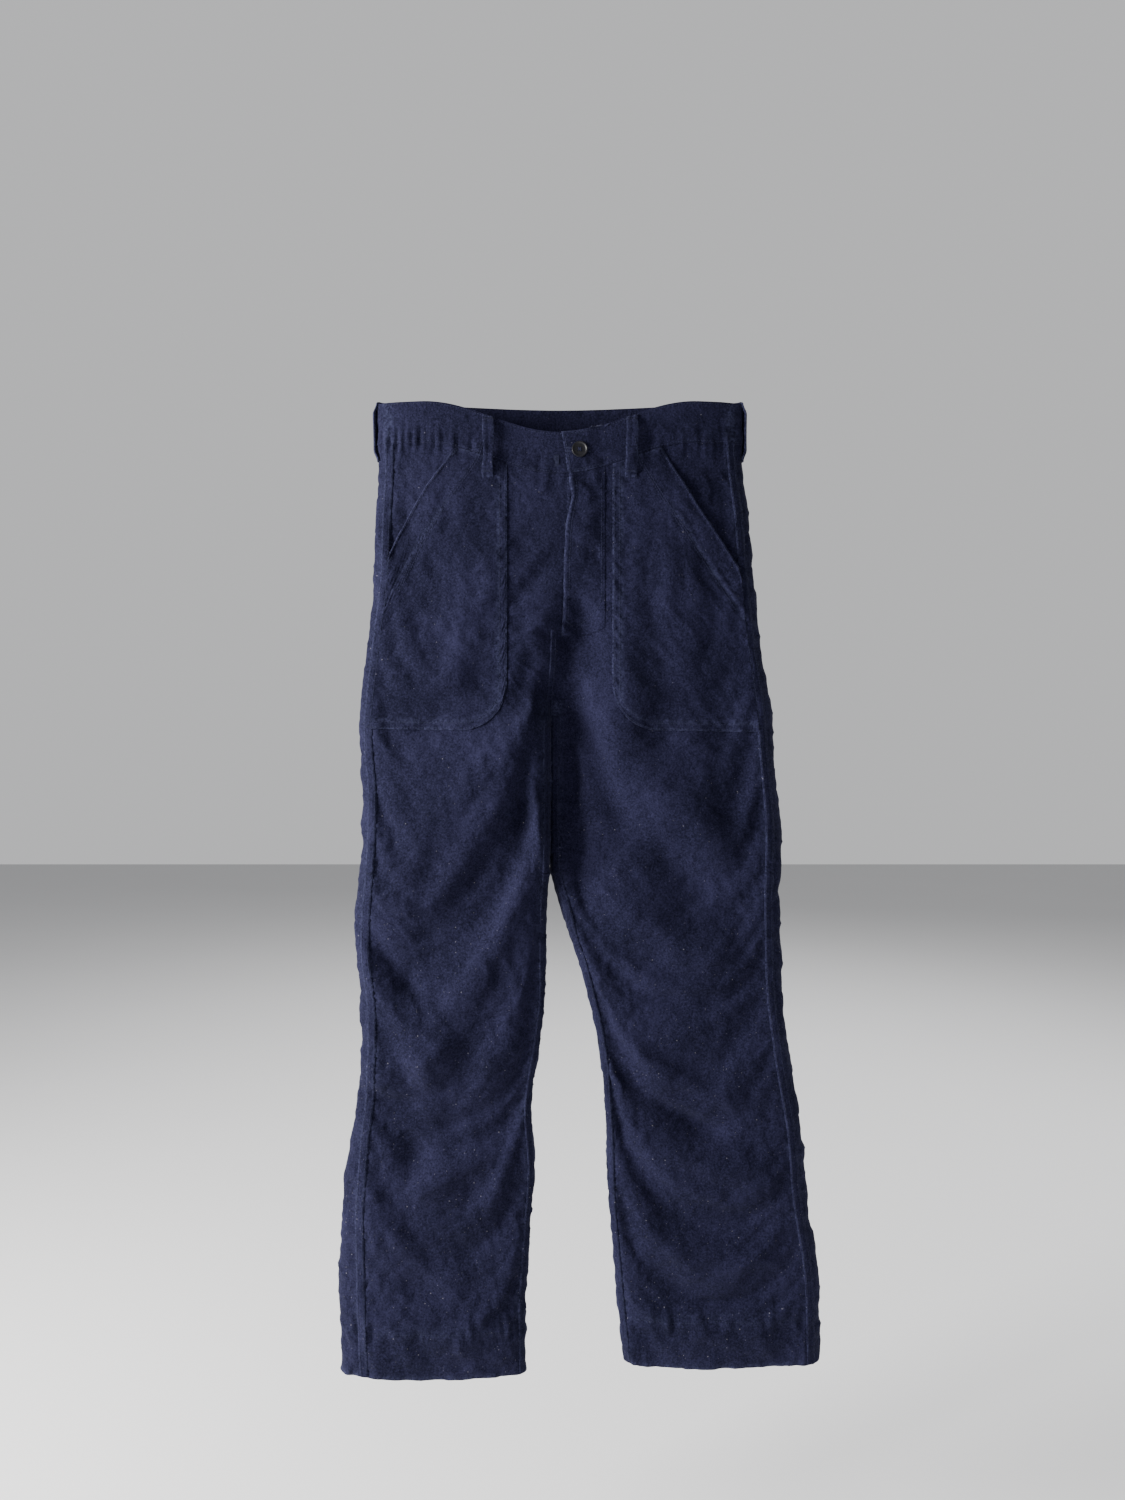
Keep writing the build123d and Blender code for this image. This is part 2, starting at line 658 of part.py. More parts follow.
def leg_nodes() -> dict[str, Part]:
    """The pieces of both legs below the hip fold."""
    nodes = {}
    for side in SIDES:
        for name, cuts in (("thigh", thigh_stations(side)), ("shin", shin_stations(side))):
            for face in FACING:
                nodes[f"{name}_{face}_{side}"] = wall(cuts, face)
            nodes[f"side_seam_{name}_{side}"] = felled_seam(cuts, SIDE_SEAM_INSET, True)
            nodes[f"inseam_{name}_{side}"] = felled_seam(cuts, INSEAM_INSET, False)
        nodes[f"hem_{side}"] = hem(side)
    return nodes


def main() -> None:
    """Write one STEP file for each piece."""
    os.makedirs("parts", exist_ok=True)
    for name, shape in {**seat_nodes(), **fly_nodes(), **leg_nodes()}.items():
        shape.label = name
        export_step(shape, os.path.join("parts", f"{name}.step"))


if __name__ == "__main__":
    main()
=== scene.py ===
"""Washed navy canvas utility trousers, hung by the waistband: the visual model around the CAD frame.

Metres. +Z is up, the front faces -Y and the wearer's right side is at -X. Heights are given as
drops below the waistband's top edge at the sides.
"""

import logging
import math
from collections.abc import Callable
from dataclasses import dataclass, field
from enum import Enum

import bpy
import numpy as np
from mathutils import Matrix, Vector
from mathutils.bvhtree import BVHTree


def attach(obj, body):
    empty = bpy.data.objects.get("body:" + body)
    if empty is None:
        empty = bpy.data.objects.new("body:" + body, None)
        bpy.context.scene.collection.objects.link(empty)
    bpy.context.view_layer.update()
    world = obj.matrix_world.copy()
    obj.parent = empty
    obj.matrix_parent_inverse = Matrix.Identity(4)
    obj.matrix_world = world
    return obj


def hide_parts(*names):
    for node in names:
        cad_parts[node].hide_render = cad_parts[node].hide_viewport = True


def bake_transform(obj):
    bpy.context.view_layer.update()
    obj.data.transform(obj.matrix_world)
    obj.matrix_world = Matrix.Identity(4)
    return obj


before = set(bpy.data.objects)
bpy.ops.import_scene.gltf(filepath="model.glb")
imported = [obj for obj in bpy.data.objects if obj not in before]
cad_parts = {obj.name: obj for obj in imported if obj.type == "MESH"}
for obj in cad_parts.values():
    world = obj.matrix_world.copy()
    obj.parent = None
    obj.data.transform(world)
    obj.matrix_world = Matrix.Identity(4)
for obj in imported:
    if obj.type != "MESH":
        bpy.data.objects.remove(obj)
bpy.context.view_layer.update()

MM = 0.001
MID_THIGH = 0.517  # the drop that parts the upper leg's panels from the lower leg's
HEM_DEPTH = 0.049  # from the hem's edge up to its row of stitches
LEG_MIDDLE = 0.11  # from the middle of the trousers to the middle of a leg
ROW_INSETS = (0.0021, 0.0080)  # from a patch's edge to its two rows of stitches
RAY_START = 0.3  # how far off the cloth a ray starts, front or back
RAY_REACH = 0.6
LOG = logging.getLogger("trousers")

Array = np.ndarray
Knots = list[tuple[float, float]]
Size = tuple[float, float]
Colour = tuple[float, float, float, float]
Piece = bpy.types.Object
Mesh = bpy.types.Mesh
Material = bpy.types.Material
NodeTree = bpy.types.NodeTree
Socket = bpy.types.NodeSocket


class Side(Enum):
    """The wearer's right or left."""

    RIGHT = -1
    LEFT = 1

    @property
    def word(self) -> str:
        """The side's name in piece names."""
        return self.name.lower()


class Face(Enum):
    """The front or the back of the trousers."""

    FRONT = -1
    BACK = 1

    @property
    def word(self) -> str:
        """The face's name in piece names."""
        return self.name.lower()


class Part(Enum):
    """The stretches that the cloth is split into, from the waist down."""

    BAND = 0
    UPPER = 1
    LOWER = 2


# ---------------------------------------------------------------- plain helpers


def panel_number(part: int | Array, side: Side, face: Face) -> int | Array:
    """The number under which the shell's faces keep the panel they belong to."""
    return part * 4 + (side is Side.LEFT) * 2 + (face is Face.BACK)


def hump(distance: Array, width: float) -> Array:
    """A smooth hump, 1 where the distance is 0 and faded away two widths off."""
    return np.exp(-(distance / width) ** 2)


def between(knots: Knots, at: Array | float) -> Array:
    """Values on the straight lines between knots."""
    return np.interp(at, *zip(*knots))


def path(x: Array, drop: Array) -> Array:
    """Rows of (x, drop)."""
    return np.stack([x, drop], axis=1)


def smooth_line(knots: Knots, at: Array) -> Array:
    """Values along a smooth curve through a few knots.

    Args:
        knots: (place, value) pairs in rising order of place.
        at: Places to read the curve at.

    Returns:
        One value for each place.
    """
    x = np.array([k[0] for k in knots], float)
    y = np.array([k[1] for k in knots], float)
    slope = np.gradient(y, x)
    i = np.clip(np.searchsorted(x, at) - 1, 0, len(x) - 2)
    step = x[i + 1] - x[i]
    t = np.clip((at - x[i]) / step, 0, 1)
    a = (1 + 2 * t) * (1 - t) ** 2 * y[i] + t * (1 - t) ** 2 * step * slope[i]
    b = t * t * (3 - 2 * t) * y[i + 1] + t * t * (t - 1) * step * slope[i + 1]
    return a + b


def ease(t: Array) -> Array:
    """A smooth step from 0 to 1 as t goes from 0 to 1."""
    t = np.clip(t, 0, 1)
    return t * t * (3 - 2 * t)


def ripple(a: Array, b: Array, pitch: float, seed: int) -> Array:
    """A soft, uneven pattern between -1 and 1, the same on every run.

    Args:
        a: First coordinate, in metres.
        b: Second coordinate, in metres.
        pitch: Usual distance between crests, in metres.
        seed: Which pattern to make.

    Returns:
        One height for each point.
    """
    source = np.random.default_rng(seed)
    total = np.zeros_like(a)
    for _ in range(9):
        angle = source.uniform(0, math.pi)
        wave = pitch * source.uniform(0.65, 1.7)
        phase = source.uniform(0, 2 * math.pi)
        total += np.sin(2 * math.pi * (a * math.cos(angle) + b * math.sin(angle)) / wave + phase)
    return total / 4.5


def creases(a: Array, b: Array, pitch: float, seed: int) -> Array:
    """Thin crossing ridges between broad flat places, from 0 to 1, as crumpled cloth has."""
    return np.exp(-np.abs(ripple(a, b, pitch, seed)) * 5.0)


def deselect() -> None:
    """Leave nothing selected and no active object."""
    if bpy.context.mode != "OBJECT":
        bpy.ops.object.mode_set(mode="OBJECT")
    bpy.ops.object.select_all(action="DESELECT")
    bpy.context.view_layer.objects.active = None


def take(obj: Piece) -> None:
    """Make one object the only selected one, and active.

    Args:
        obj: The object.
    """
    deselect()
    obj.select_set(True)
    bpy.context.view_layer.objects.active = obj


def point_outwards(obj: Piece, merge: float = 0.0) -> None:
    """Point a mesh's faces outwards, after its doubled points are merged.

    Args:
        obj: The object.
        merge: How near points have to be to count as doubled, or 0 to merge none.
    """
    take(obj)
    bpy.ops.object.mode_set(mode="EDIT")
    bpy.ops.mesh.select_all(action="SELECT")
    if merge:
        bpy.ops.mesh.remove_doubles(threshold=merge)
    bpy.ops.mesh.normals_make_consistent(inside=False)
    bpy.ops.object.mode_set(mode="OBJECT")


def read_rows(source: bpy.types.bpy_prop_collection, key: str, wide: int = 3) -> Array:
    """Read one property of many items.

    Args:
        source: The items, such as a mesh's points.
        key: The property's name.
        wide: How many numbers it has.

    Returns:
        One row for each item.
    """
    flat = np.empty(len(source) * wide)
    source.foreach_get(key, flat)
    return flat.reshape(-1, wide)


def positions(mesh: Mesh) -> Array:
    """A mesh's points."""
    return read_rows(mesh.vertices, "co")


def point_normals(mesh: Mesh) -> Array:
    """The normals at a mesh's points."""
    return read_rows(mesh.vertex_normals, "vector")


def corner_points(mesh: Mesh) -> Array:
    """The point that each face corner of a mesh stands on.

    Args:
        mesh: The mesh.

    Returns:
        One point's number for each corner.
    """
    corners = np.empty(len(mesh.loops), int)
    mesh.loops.foreach_get("vertex_index", corners)
    return corners


def make_object(name: str, points: Array, faces: list) -> Piece:
    """Make a mesh object, smooth shaded, and link it to the scene.

    Args:
        name: Its name.
        points: Rows of x, y, z.
        faces: The points of each face.

    Returns:
        The object.
    """
    mesh = bpy.data.meshes.new(name)
    mesh.from_pydata(points.tolist(), [], faces)
    mesh.polygons.foreach_set("use_smooth", [True] * len(mesh.polygons))
    mesh.update()
    obj = bpy.data.objects.new(name, mesh)
    bpy.context.scene.collection.objects.link(obj)
    return obj


def grid_faces(rows: int, columns: int) -> Array:
    """Quads of a grid of points stored row by row."""
    corner = np.arange((rows - 1) * columns).reshape(rows - 1, columns)[:, :-1].ravel()
    return np.stack([corner, corner + 1, corner + columns + 1, corner + columns], axis=1)


def set_uv(mesh: Mesh, uv: Array) -> None:
    """Store one UV pair for each point, in metres of cloth."""
    mesh.uv_layers.new(name="cloth").data.foreach_set("uv", uv[corner_points(mesh)].ravel())


def set_values(mesh: Mesh, name: str, values: Array) -> None:
    """Store one number for each point under a name."""
    attribute = mesh.attributes.get(name) or mesh.attributes.new(name, "FLOAT", "POINT")
    attribute.data.foreach_set("value", values.astype(np.float32))


def get_values(mesh: Mesh, name: str) -> Array:
    """Read the numbers that each point holds under a name.

    Args:
        mesh: The mesh.
        name: The name they are stored under.

    Returns:
        One number for each point.
    """
    values = np.empty(len(mesh.vertices), np.float32)
    mesh.attributes[name].data.foreach_get("value", values)
    return values.astype(float)


@dataclass
class ClothMesh:
    """An open sheet of cloth as arrays, before it gets its thickness."""

    points: Array
    normals: Array
    faces: Array
    uv: Array
    # How much paler each point is, from fading and a painted highlight.
    wear: Array

    def joined(self) -> "ClothMesh":
        """The same sheet with the points that lie on each other made one.

        Returns:
            The sheet without doubled points.
        """
        key = np.round(self.points / 0.00002).astype(np.int64)
        _, first, back = np.unique(key, axis=0, return_index=True, return_inverse=True)
        faces = back.ravel()[self.faces]
        return ClothMesh(self.points[first], self.normals[first], faces, self.uv[first], self.wear[first])

    @classmethod
    def together(cls, sheets: list["ClothMesh"]) -> "ClothMesh":
        """Several sheets as one, side by side.

        Args:
            sheets: The sheets.

        Returns:
            One sheet with all their points and faces.
        """
        starts = np.cumsum([0] + [len(sheet.points) for sheet in sheets[:-1]])
        parts = [(sheet.points, sheet.normals, sheet.faces + start, sheet.uv, sheet.wear)
                 for sheet, start in zip(sheets, starts)]
        return cls(*(np.concatenate(part) for part in zip(*parts)))

    def thicken(self, name: str, outward: float, inward: float) -> Piece:
        """Give the sheet two faces and closed edges, with its own smooth normals.

        Args:
            name: Name of the new object.
            outward: How far the outer face lies outside the sheet.
            inward: How far the inner face lies inside it.

        Returns:
            The closed cloth piece.
        """
        count = len(self.points)
        outer = self.points + self.normals * outward
        inner = self.points - self.normals * inward
        pairs = np.concatenate([self.faces[:, [i, (i + 1) % 4]] for i in range(4)])
        ordered = np.sort(pairs, axis=1)
        _, first, uses = np.unique(ordered, axis=0, return_index=True, return_counts=True)
        edges = pairs[first[uses == 1]]
        rim = np.stack([edges[:, 1], edges[:, 0], edges[:, 0] + count, edges[:, 1] + count], axis=1)
        faces = np.concatenate([self.faces, self.faces[:, ::-1] + count, rim])
        obj = make_object(name, np.concatenate([outer, inner]), faces.tolist())
        mesh = obj.data
        set_uv(mesh, np.concatenate([self.uv, self.uv]))
        set_values(mesh, "wear", np.concatenate([self.wear, self.wear]))
        custom = np.concatenate([self.normals, -self.normals])[corner_points(mesh)]
        flat = read_rows(mesh.polygons, "normal")
        custom[8 * len(self.faces):] = np.repeat(flat[2 * len(self.faces):], 4, axis=0)
        mesh.normals_split_custom_set(custom.tolist())
        return obj


def grid_sheet(points: Array, uv: Array, wear: Array, facing: Array) -> ClothMesh:
    """A sheet from a grid of points, with normals from the grid's own slopes.

    Args:
        points: Array of rows by columns by three.
        uv: Array of rows by columns by two, in metres.
        wear: How much paler each place is, from fading and a painted highlight, rows by columns.
        facing: A direction that the sheet's outer face looks towards.

    Returns:
        The sheet.
    """
    down = np.gradient(points, axis=0)
    across = np.gradient(points, axis=1)
    normal = np.cross(across, down)
    normal /= np.maximum(np.linalg.norm(normal, axis=2, keepdims=True), 1e-12)
    faces = grid_faces(points.shape[0], points.shape[1])
    if (normal.reshape(-1, 3) @ facing).sum() < 0:
        normal = -normal
        faces = faces[:, ::-1]
    rows = points.reshape(-1, 3), normal.reshape(-1, 3)
    return ClothMesh(*rows, faces, uv.reshape(-1, 2), wear.ravel())


# ---------------------------------------------------------------- the hung form


@dataclass(frozen=True)
class Fold:
    """A broad fold of hanging cloth, drawn as seen from the front.

    Attributes:
        start: Its upper end, (x, drop) in metres.
        end: Its lower end.
        width: How far it reaches to each side of its line.
        height: How far it stands out, or sinks where negative.
    """

    start: tuple[float, float]
    end: tuple[float, float]
    width: float
    height: float

    def relief(self, x: Array, drop: Array) -> Array:
        """How far this fold moves each point outward.

        Args:
            x: Places across.
            drop: Their drops.

        Returns:
            One height for each place.
        """
        a = np.array(self.start)
        run = np.array(self.end) - a
        length = np.hypot(*run)
        along = ((x - a[0]) * run[0] + (drop - a[1]) * run[1]) / length**2
        bow = 0.06 * length * np.sin(math.pi * np.clip(along, 0, 1))
        across = ((x - a[0]) * run[1] - (drop - a[1]) * run[0]) / length + bow
        fade = np.clip(np.minimum(along, 1 - along) / 0.3 + 0.5, 0, 1)
        sharp = np.abs(across) / self.width
        return self.height * np.exp(-sharp**1.7) * ease(fade)


def folds(*rows: tuple[float, ...]) -> tuple[Fold, ...]:
    """Folds from rows of upper x and drop, lower x and drop, width and height."""
    return tuple(Fold(row[:2], row[2:4], *row[4:]) for row in rows)


@dataclass
class HungForm:
    """The trousers' form as they hang, before the cloth relaxes.

    Attributes:
        rise: Where the front and back start to turn under.
        crotch: Where the two legs part.
        sag: How far the front waistband dips at its middle.
        sag_shoulder: How far it dips away from the middle.
        sag_reach: How far to each side the deeper dip goes.
        band: Height of the waistband.
        roundness: How square the flattened sections are, 2 for an ellipse.
        leg_step: How far the legs' inner edges move off each other, front to back.
        outer: Knots of each half's outer edge, (drop, distance from the middle).
        inner: Knots of each leg's inner edge.
        seam_inset: Knots of how far the side seam lies inside the outer edge.
        front_depth: Knots of how far the front stands forward.
        back_depth: Knots of how far the back stands back.
        hem: The drop of each leg's hem.
    """

    rise: float = 0.275
    crotch: float = 0.330
    sag: float = 0.039
    sag_shoulder: float = 0.004
    sag_reach: float = 0.150
    band: float = 0.045
    roundness: float = 2.35
    leg_step: float = 0.0072
    outer: dict[Side, Knots] = field(default_factory=lambda: {
        Side.RIGHT: [(0.0, 0.200), (0.07, 0.199), (0.13, 0.203), (0.20, 0.205), (0.284, 0.214),
                     (0.37, 0.221), (0.438, 0.217), (0.526, 0.221), (0.59, 0.226), (0.658, 0.219),
                     (0.746, 0.221), (0.823, 0.232), (0.889, 0.240), (0.966, 0.242), (1.062, 0.241)],
        Side.LEFT: [(0.0, 0.200), (0.06, 0.200), (0.13, 0.208), (0.20, 0.214), (0.262, 0.221),
                    (0.328, 0.231), (0.394, 0.237), (0.46, 0.243), (0.56, 0.243), (0.658, 0.246),
                    (0.724, 0.254), (0.79, 0.265), (0.87, 0.272), (0.949, 0.284), (1.05, 0.286)],
    })
    inner: dict[Side, Knots] = field(default_factory=lambda: {
        Side.RIGHT: [(0.33, 0.0113), (0.345, 0.0104), (0.38, 0.0101), (0.45, 0.0102), (0.515, 0.0108),
                     (0.545, 0.0132), (0.60, 0.0146), (0.66, 0.015), (0.71, 0.022), (0.775, 0.031),
                     (0.836, 0.027), (0.914, 0.032), (0.99, 0.037), (1.062, 0.036)],
        Side.LEFT: [(0.33, -0.0113), (0.345, -0.0122), (0.38, -0.0125), (0.48, -0.0122), (0.515, -0.0108),
                    (0.545, -0.0030), (0.575, 0.0065), (0.614, 0.021), (0.66, 0.033), (0.702, 0.042),
                    (0.79, 0.050), (0.878, 0.053), (0.944, 0.059), (1.05, 0.069)],
    })
    seam_inset: dict[Side, Knots] = field(default_factory=lambda: {
        Side.RIGHT: [(0.04, 0.0125), (0.15, 0.0145), (0.30, 0.0125), (0.50, 0.0135),
                     (0.75, 0.0155), (0.95, 0.026), (1.062, 0.029)],
        Side.LEFT: [(0.04, 0.013), (0.20, 0.013), (0.40, 0.0145), (0.60, 0.0155),
                    (0.80, 0.014), (0.95, 0.014), (1.062, 0.013)],
    })
    front_depth: Knots = field(default_factory=lambda: [
        (0.0, 0.020), (0.10, 0.023), (0.20, 0.025), (0.33, 0.026), (0.45, 0.026), (0.65, 0.025),
        (0.85, 0.025), (1.07, 0.027)])
    back_depth: Knots = field(default_factory=lambda: [
        (0.0, 0.020), (0.10, 0.023), (0.22, 0.026), (0.33, 0.025), (0.45, 0.022), (0.65, 0.021),
        (0.85, 0.020), (1.07, 0.022)])
    hem: dict[Side, float] = field(default_factory=lambda: {Side.RIGHT: 1.062, Side.LEFT: 1.050})
    front_folds: tuple[Fold, ...] = folds(
        (-0.005, 0.325, -0.195, 0.560, 0.034, 0.0085), (-0.020, 0.270, -0.205, 0.430, 0.024, -0.0055),
        (-0.018, 0.430, -0.170, 0.650, 0.024, -0.0070), (-0.022, 0.520, -0.150, 0.735, 0.020, 0.0050),
        (-0.013, 0.385, -0.017, 0.500, 0.009, 0.0065), (-0.029, 0.365, -0.036, 0.480, 0.010, -0.0060),
        (-0.212, 0.560, -0.150, 0.655, 0.011, -0.0050), (-0.214, 0.600, -0.165, 0.690, 0.010, 0.0045),
        (-0.215, 0.735, -0.105, 0.690, 0.014, 0.0058), (-0.212, 0.765, -0.085, 0.728, 0.013, -0.0060),
        (-0.030, 0.700, -0.150, 0.760, 0.016, 0.0055), (-0.035, 0.745, -0.175, 0.835, 0.019, -0.0060),
        (-0.038, 0.815, -0.165, 0.865, 0.016, 0.0055), (-0.215, 0.870, -0.110, 0.960, 0.024, 0.0050),
        (-0.045, 0.900, -0.190, 0.985, 0.022, -0.0048), (0.026, 0.190, 0.028, 0.520, 0.029, -0.0150),
        (0.054, 0.200, 0.052, 0.520, 0.034, -0.0048), (0.034, 0.280, 0.016, 0.420, 0.014, -0.0060),
        (-0.014, 0.255, -0.020, 0.500, 0.013, 0.0060), (-0.010, 0.150, -0.100, 0.330, 0.016, -0.0040),
        (-0.006, 0.215, -0.060, 0.330, 0.010, 0.0040), (-0.012, 0.130, -0.045, 0.190, 0.007, 0.0028),
        (0.070, 0.130, 0.200, 0.250, 0.030, 0.0035), (0.065, 0.230, 0.190, 0.330, 0.024, -0.0040),
        (-0.190, 0.230, -0.075, 0.330, 0.022, 0.0035), (-0.170, 0.120, -0.080, 0.250, 0.020, -0.0030),
        (0.040, 0.330, 0.190, 0.500, 0.030, 0.0060), (0.052, 0.430, 0.215, 0.560, 0.026, -0.0060),
        (0.030, 0.520, 0.215, 0.620, 0.026, 0.0060), (0.050, 0.640, 0.215, 0.640, 0.020, -0.0050),
        (0.055, 0.715, 0.175, 0.800, 0.013, -0.0075), (0.060, 0.690, 0.200, 0.765, 0.014, 0.0060),
        (0.072, 0.790, 0.235, 0.850, 0.019, 0.0055), (0.072, 0.850, 0.240, 0.890, 0.019, -0.0060),
        (0.080, 0.905, 0.250, 0.935, 0.018, 0.0050), (0.085, 0.960, 0.255, 0.975, 0.018, -0.0045),
    )
    back_folds: tuple[Fold, ...] = folds(
        (-0.010, 0.300, -0.190, 0.400, 0.022, -0.0060), (-0.012, 0.340, -0.170, 0.470, 0.024, 0.0065),
        (0.010, 0.300, 0.200, 0.390, 0.022, -0.0060), (0.015, 0.345, 0.190, 0.470, 0.024, 0.0065),
        (-0.200, 0.560, -0.040, 0.640, 0.022, -0.0055), (-0.200, 0.610, -0.040, 0.690, 0.018, 0.0050),
        (0.225, 0.560, 0.060, 0.650, 0.022, -0.0055), (0.230, 0.620, 0.070, 0.700, 0.018, 0.0050),
        (-0.215, 0.800, -0.060, 0.740, 0.020, 0.0050), (0.250, 0.830, 0.085, 0.760, 0.020, 0.0050),
        (-0.220, 0.960, -0.060, 0.900, 0.022, -0.0045), (0.265, 0.965, 0.085, 0.900, 0.022, -0.0045),
    )

    def hem_at(self, x: Array) -> Array:
        """The drop of the hem of the leg that a place belongs to."""
        return np.where(x < -0.01, self.hem[Side.RIGHT], self.hem[Side.LEFT])

    def outer_edge(self, side: Side, drop: Array) -> Array:
        """Where a half's outer edge runs, across."""
        return side.value * smooth_line(self.outer[side], drop)

    def inner_edge(self, side: Side, drop: Array) -> Array:
        """Where a leg's inner edge runs, across."""
        return side.value * smooth_line(self.inner[side], drop)

    def middle(self, drop: Array) -> Array:
        """Where the two halves meet, across."""
        return -0.0113 * ease(np.clip(drop / self.crotch, 0, 1))

    def front_rise(self, drop: Array) -> Array:
        """Where the front rise seam runs below the fly, across."""
        return self.middle(drop) + 0.0035 * ease((0.34 - drop) / 0.06)

    def sag_at(self, x: Array) -> Array:
        """How far the front waistband's line dips at a place across."""
        near = 0.5 + 0.5 * np.cos(math.pi * np.clip(np.abs(x) / self.sag_reach, 0, 1))
        return self.sag_shoulder + (self.sag - self.sag_shoulder) * near

    def side_seam(self, side: Side, drop: Array) -> Array:
        """Where the side seam's middle runs down the front, across."""
        inset = smooth_line(self.seam_inset[side], drop)
        return side.value * (smooth_line(self.outer[side], drop) - inset)

    def inseam(self, side: Side, drop: Array) -> Array:
        """Where the inseam's middle runs, across."""
        inset = 0.004 if side is Side.RIGHT else 0.004 + 0.0042 * ease((0.600 - drop) / 0.05)
        return self.inner_edge(side, drop) + side.value * inset

    def turn_under(self, drop: Array) -> Array:
        """How far the section has turned from a seat's, 0, to two legs', 1."""
        return np.clip((drop - self.rise) / (self.crotch - self.rise), 0, 1)

    def section(self, side: Side, face: Face, share: Array, drop: Array) -> Array:
        """Points of the plain form, with no folds.

        Args:
            side: Which half.
            face: Front or back.
            share: 0 at the side edge, 1 at the middle or the inseam.
            drop: Height, as a drop.

        Returns:
            Rows of x, y, z.
        """
        outer = self.outer_edge(side, drop)
        inner = self.inner_edge(side, np.maximum(drop, self.crotch))
        depth = smooth_line(self.front_depth if face is Face.FRONT else self.back_depth, drop)
        power = 2 / self.roundness

        def arc(angle: Array, centre: Array, half: Array) -> tuple[Array, Array]:
            """The section's x and y at an angle from its outer edge.

            Args:
                angle: The angle.
                centre: The section's middle, across.
                half: Half its width.

            Returns:
                x and y.
            """
            across = np.cos(angle)
            x = centre + half * np.sign(across) * np.abs(across) ** power
            return x, face.value * depth * np.abs(np.sin(angle)) ** power

        middle = self.middle(drop)
        seat_x, seat_y = arc(share * math.pi / 2, middle, outer - middle)
        leg_x, leg_y = arc(share * math.pi, (outer + inner) / 2, (outer - inner) / 2)
        turn = self.turn_under(drop)
        x = seat_x + (leg_x - seat_x) * turn
        y = seat_y + (leg_y - seat_y) * turn
        near = ease((drop - self.crotch + 0.004) / 0.026) * ease((0.560 - drop) / 0.050)
        near = near * hump(np.abs(x - inner), 0.024)
        y = y + side.value * self.leg_step * near
        return np.stack([x, y, -drop], axis=-1)

    def point(self, side: Side, face: Face, share: Array, drop: Array) -> Array:
        """Points of the form with its folds and its sagging waistband.

        Args:
            side: Which half.
            face: Front or back.
            share: 0 at the side edge, 1 at the middle or the inseam.
            drop: Height, as a drop.

        Returns:
            Rows of x, y, z.
        """
        points = self.section(side, face, share, drop)
        x = points[..., 0]
        flat = np.sin(math.pi * np.clip(share, 0, 1)) ** 0.5
        side_free = np.sin(math.pi * np.clip(share, 0, 0.5)) ** 0.5
        centre_free = side_free + (flat - side_free) * self.turn_under(drop)
        drawn = self.front_folds if face is Face.FRONT else self.back_folds
        below_band = ease((drop - 0.05) / 0.1)
        relief = 1.4 * sum(fold.relief(x, drop) for fold in drawn)
        relief = relief + 0.0022 * ripple(x, drop * 0.8, 0.075, 11 + face.value) * below_band
        relief = relief + 0.0009 * ripple(x, drop, 0.032, 31 + face.value) * below_band
        patchy = 0.5 + 0.5 * ripple(x, drop, 0.16, 23)
        broad = creases(x * 0.75, drop, 0.075, 24 + face.value)
        tight = creases(x * 0.75, drop, 0.055, 28 + face.value)
        relief = relief + 0.0030 * broad * patchy * below_band - 0.0024 * tight * (1 - patchy) * below_band
        points[..., 1] += face.value * relief * centre_free
        edge = np.clip(1 - flat * 1.6, 0, 1)
        nudge = 0.0028 * ripple(x * 0.2, drop, 0.06, 5) * edge * ease((drop - 0.08) / 0.1)
        free = ease((drop - (0.57 if side is Side.RIGHT else 0.60)) / 0.05)
        points[..., 0] += side.value * nudge * np.where(share < 0.5, 1, 0.5 * free)
        if face is Face.FRONT:
            pull = self.sag_at(x) * (1 - ease((drop - self.band) / 0.30))
            points[..., 2] -= pull
        else:
            points[..., 2] -= 0.004 * (1 - ease(drop / 0.12)) * (1 - ease(np.abs(x) / 0.16))
        return points


# ---------------------------------------------------------------- the cloth shell


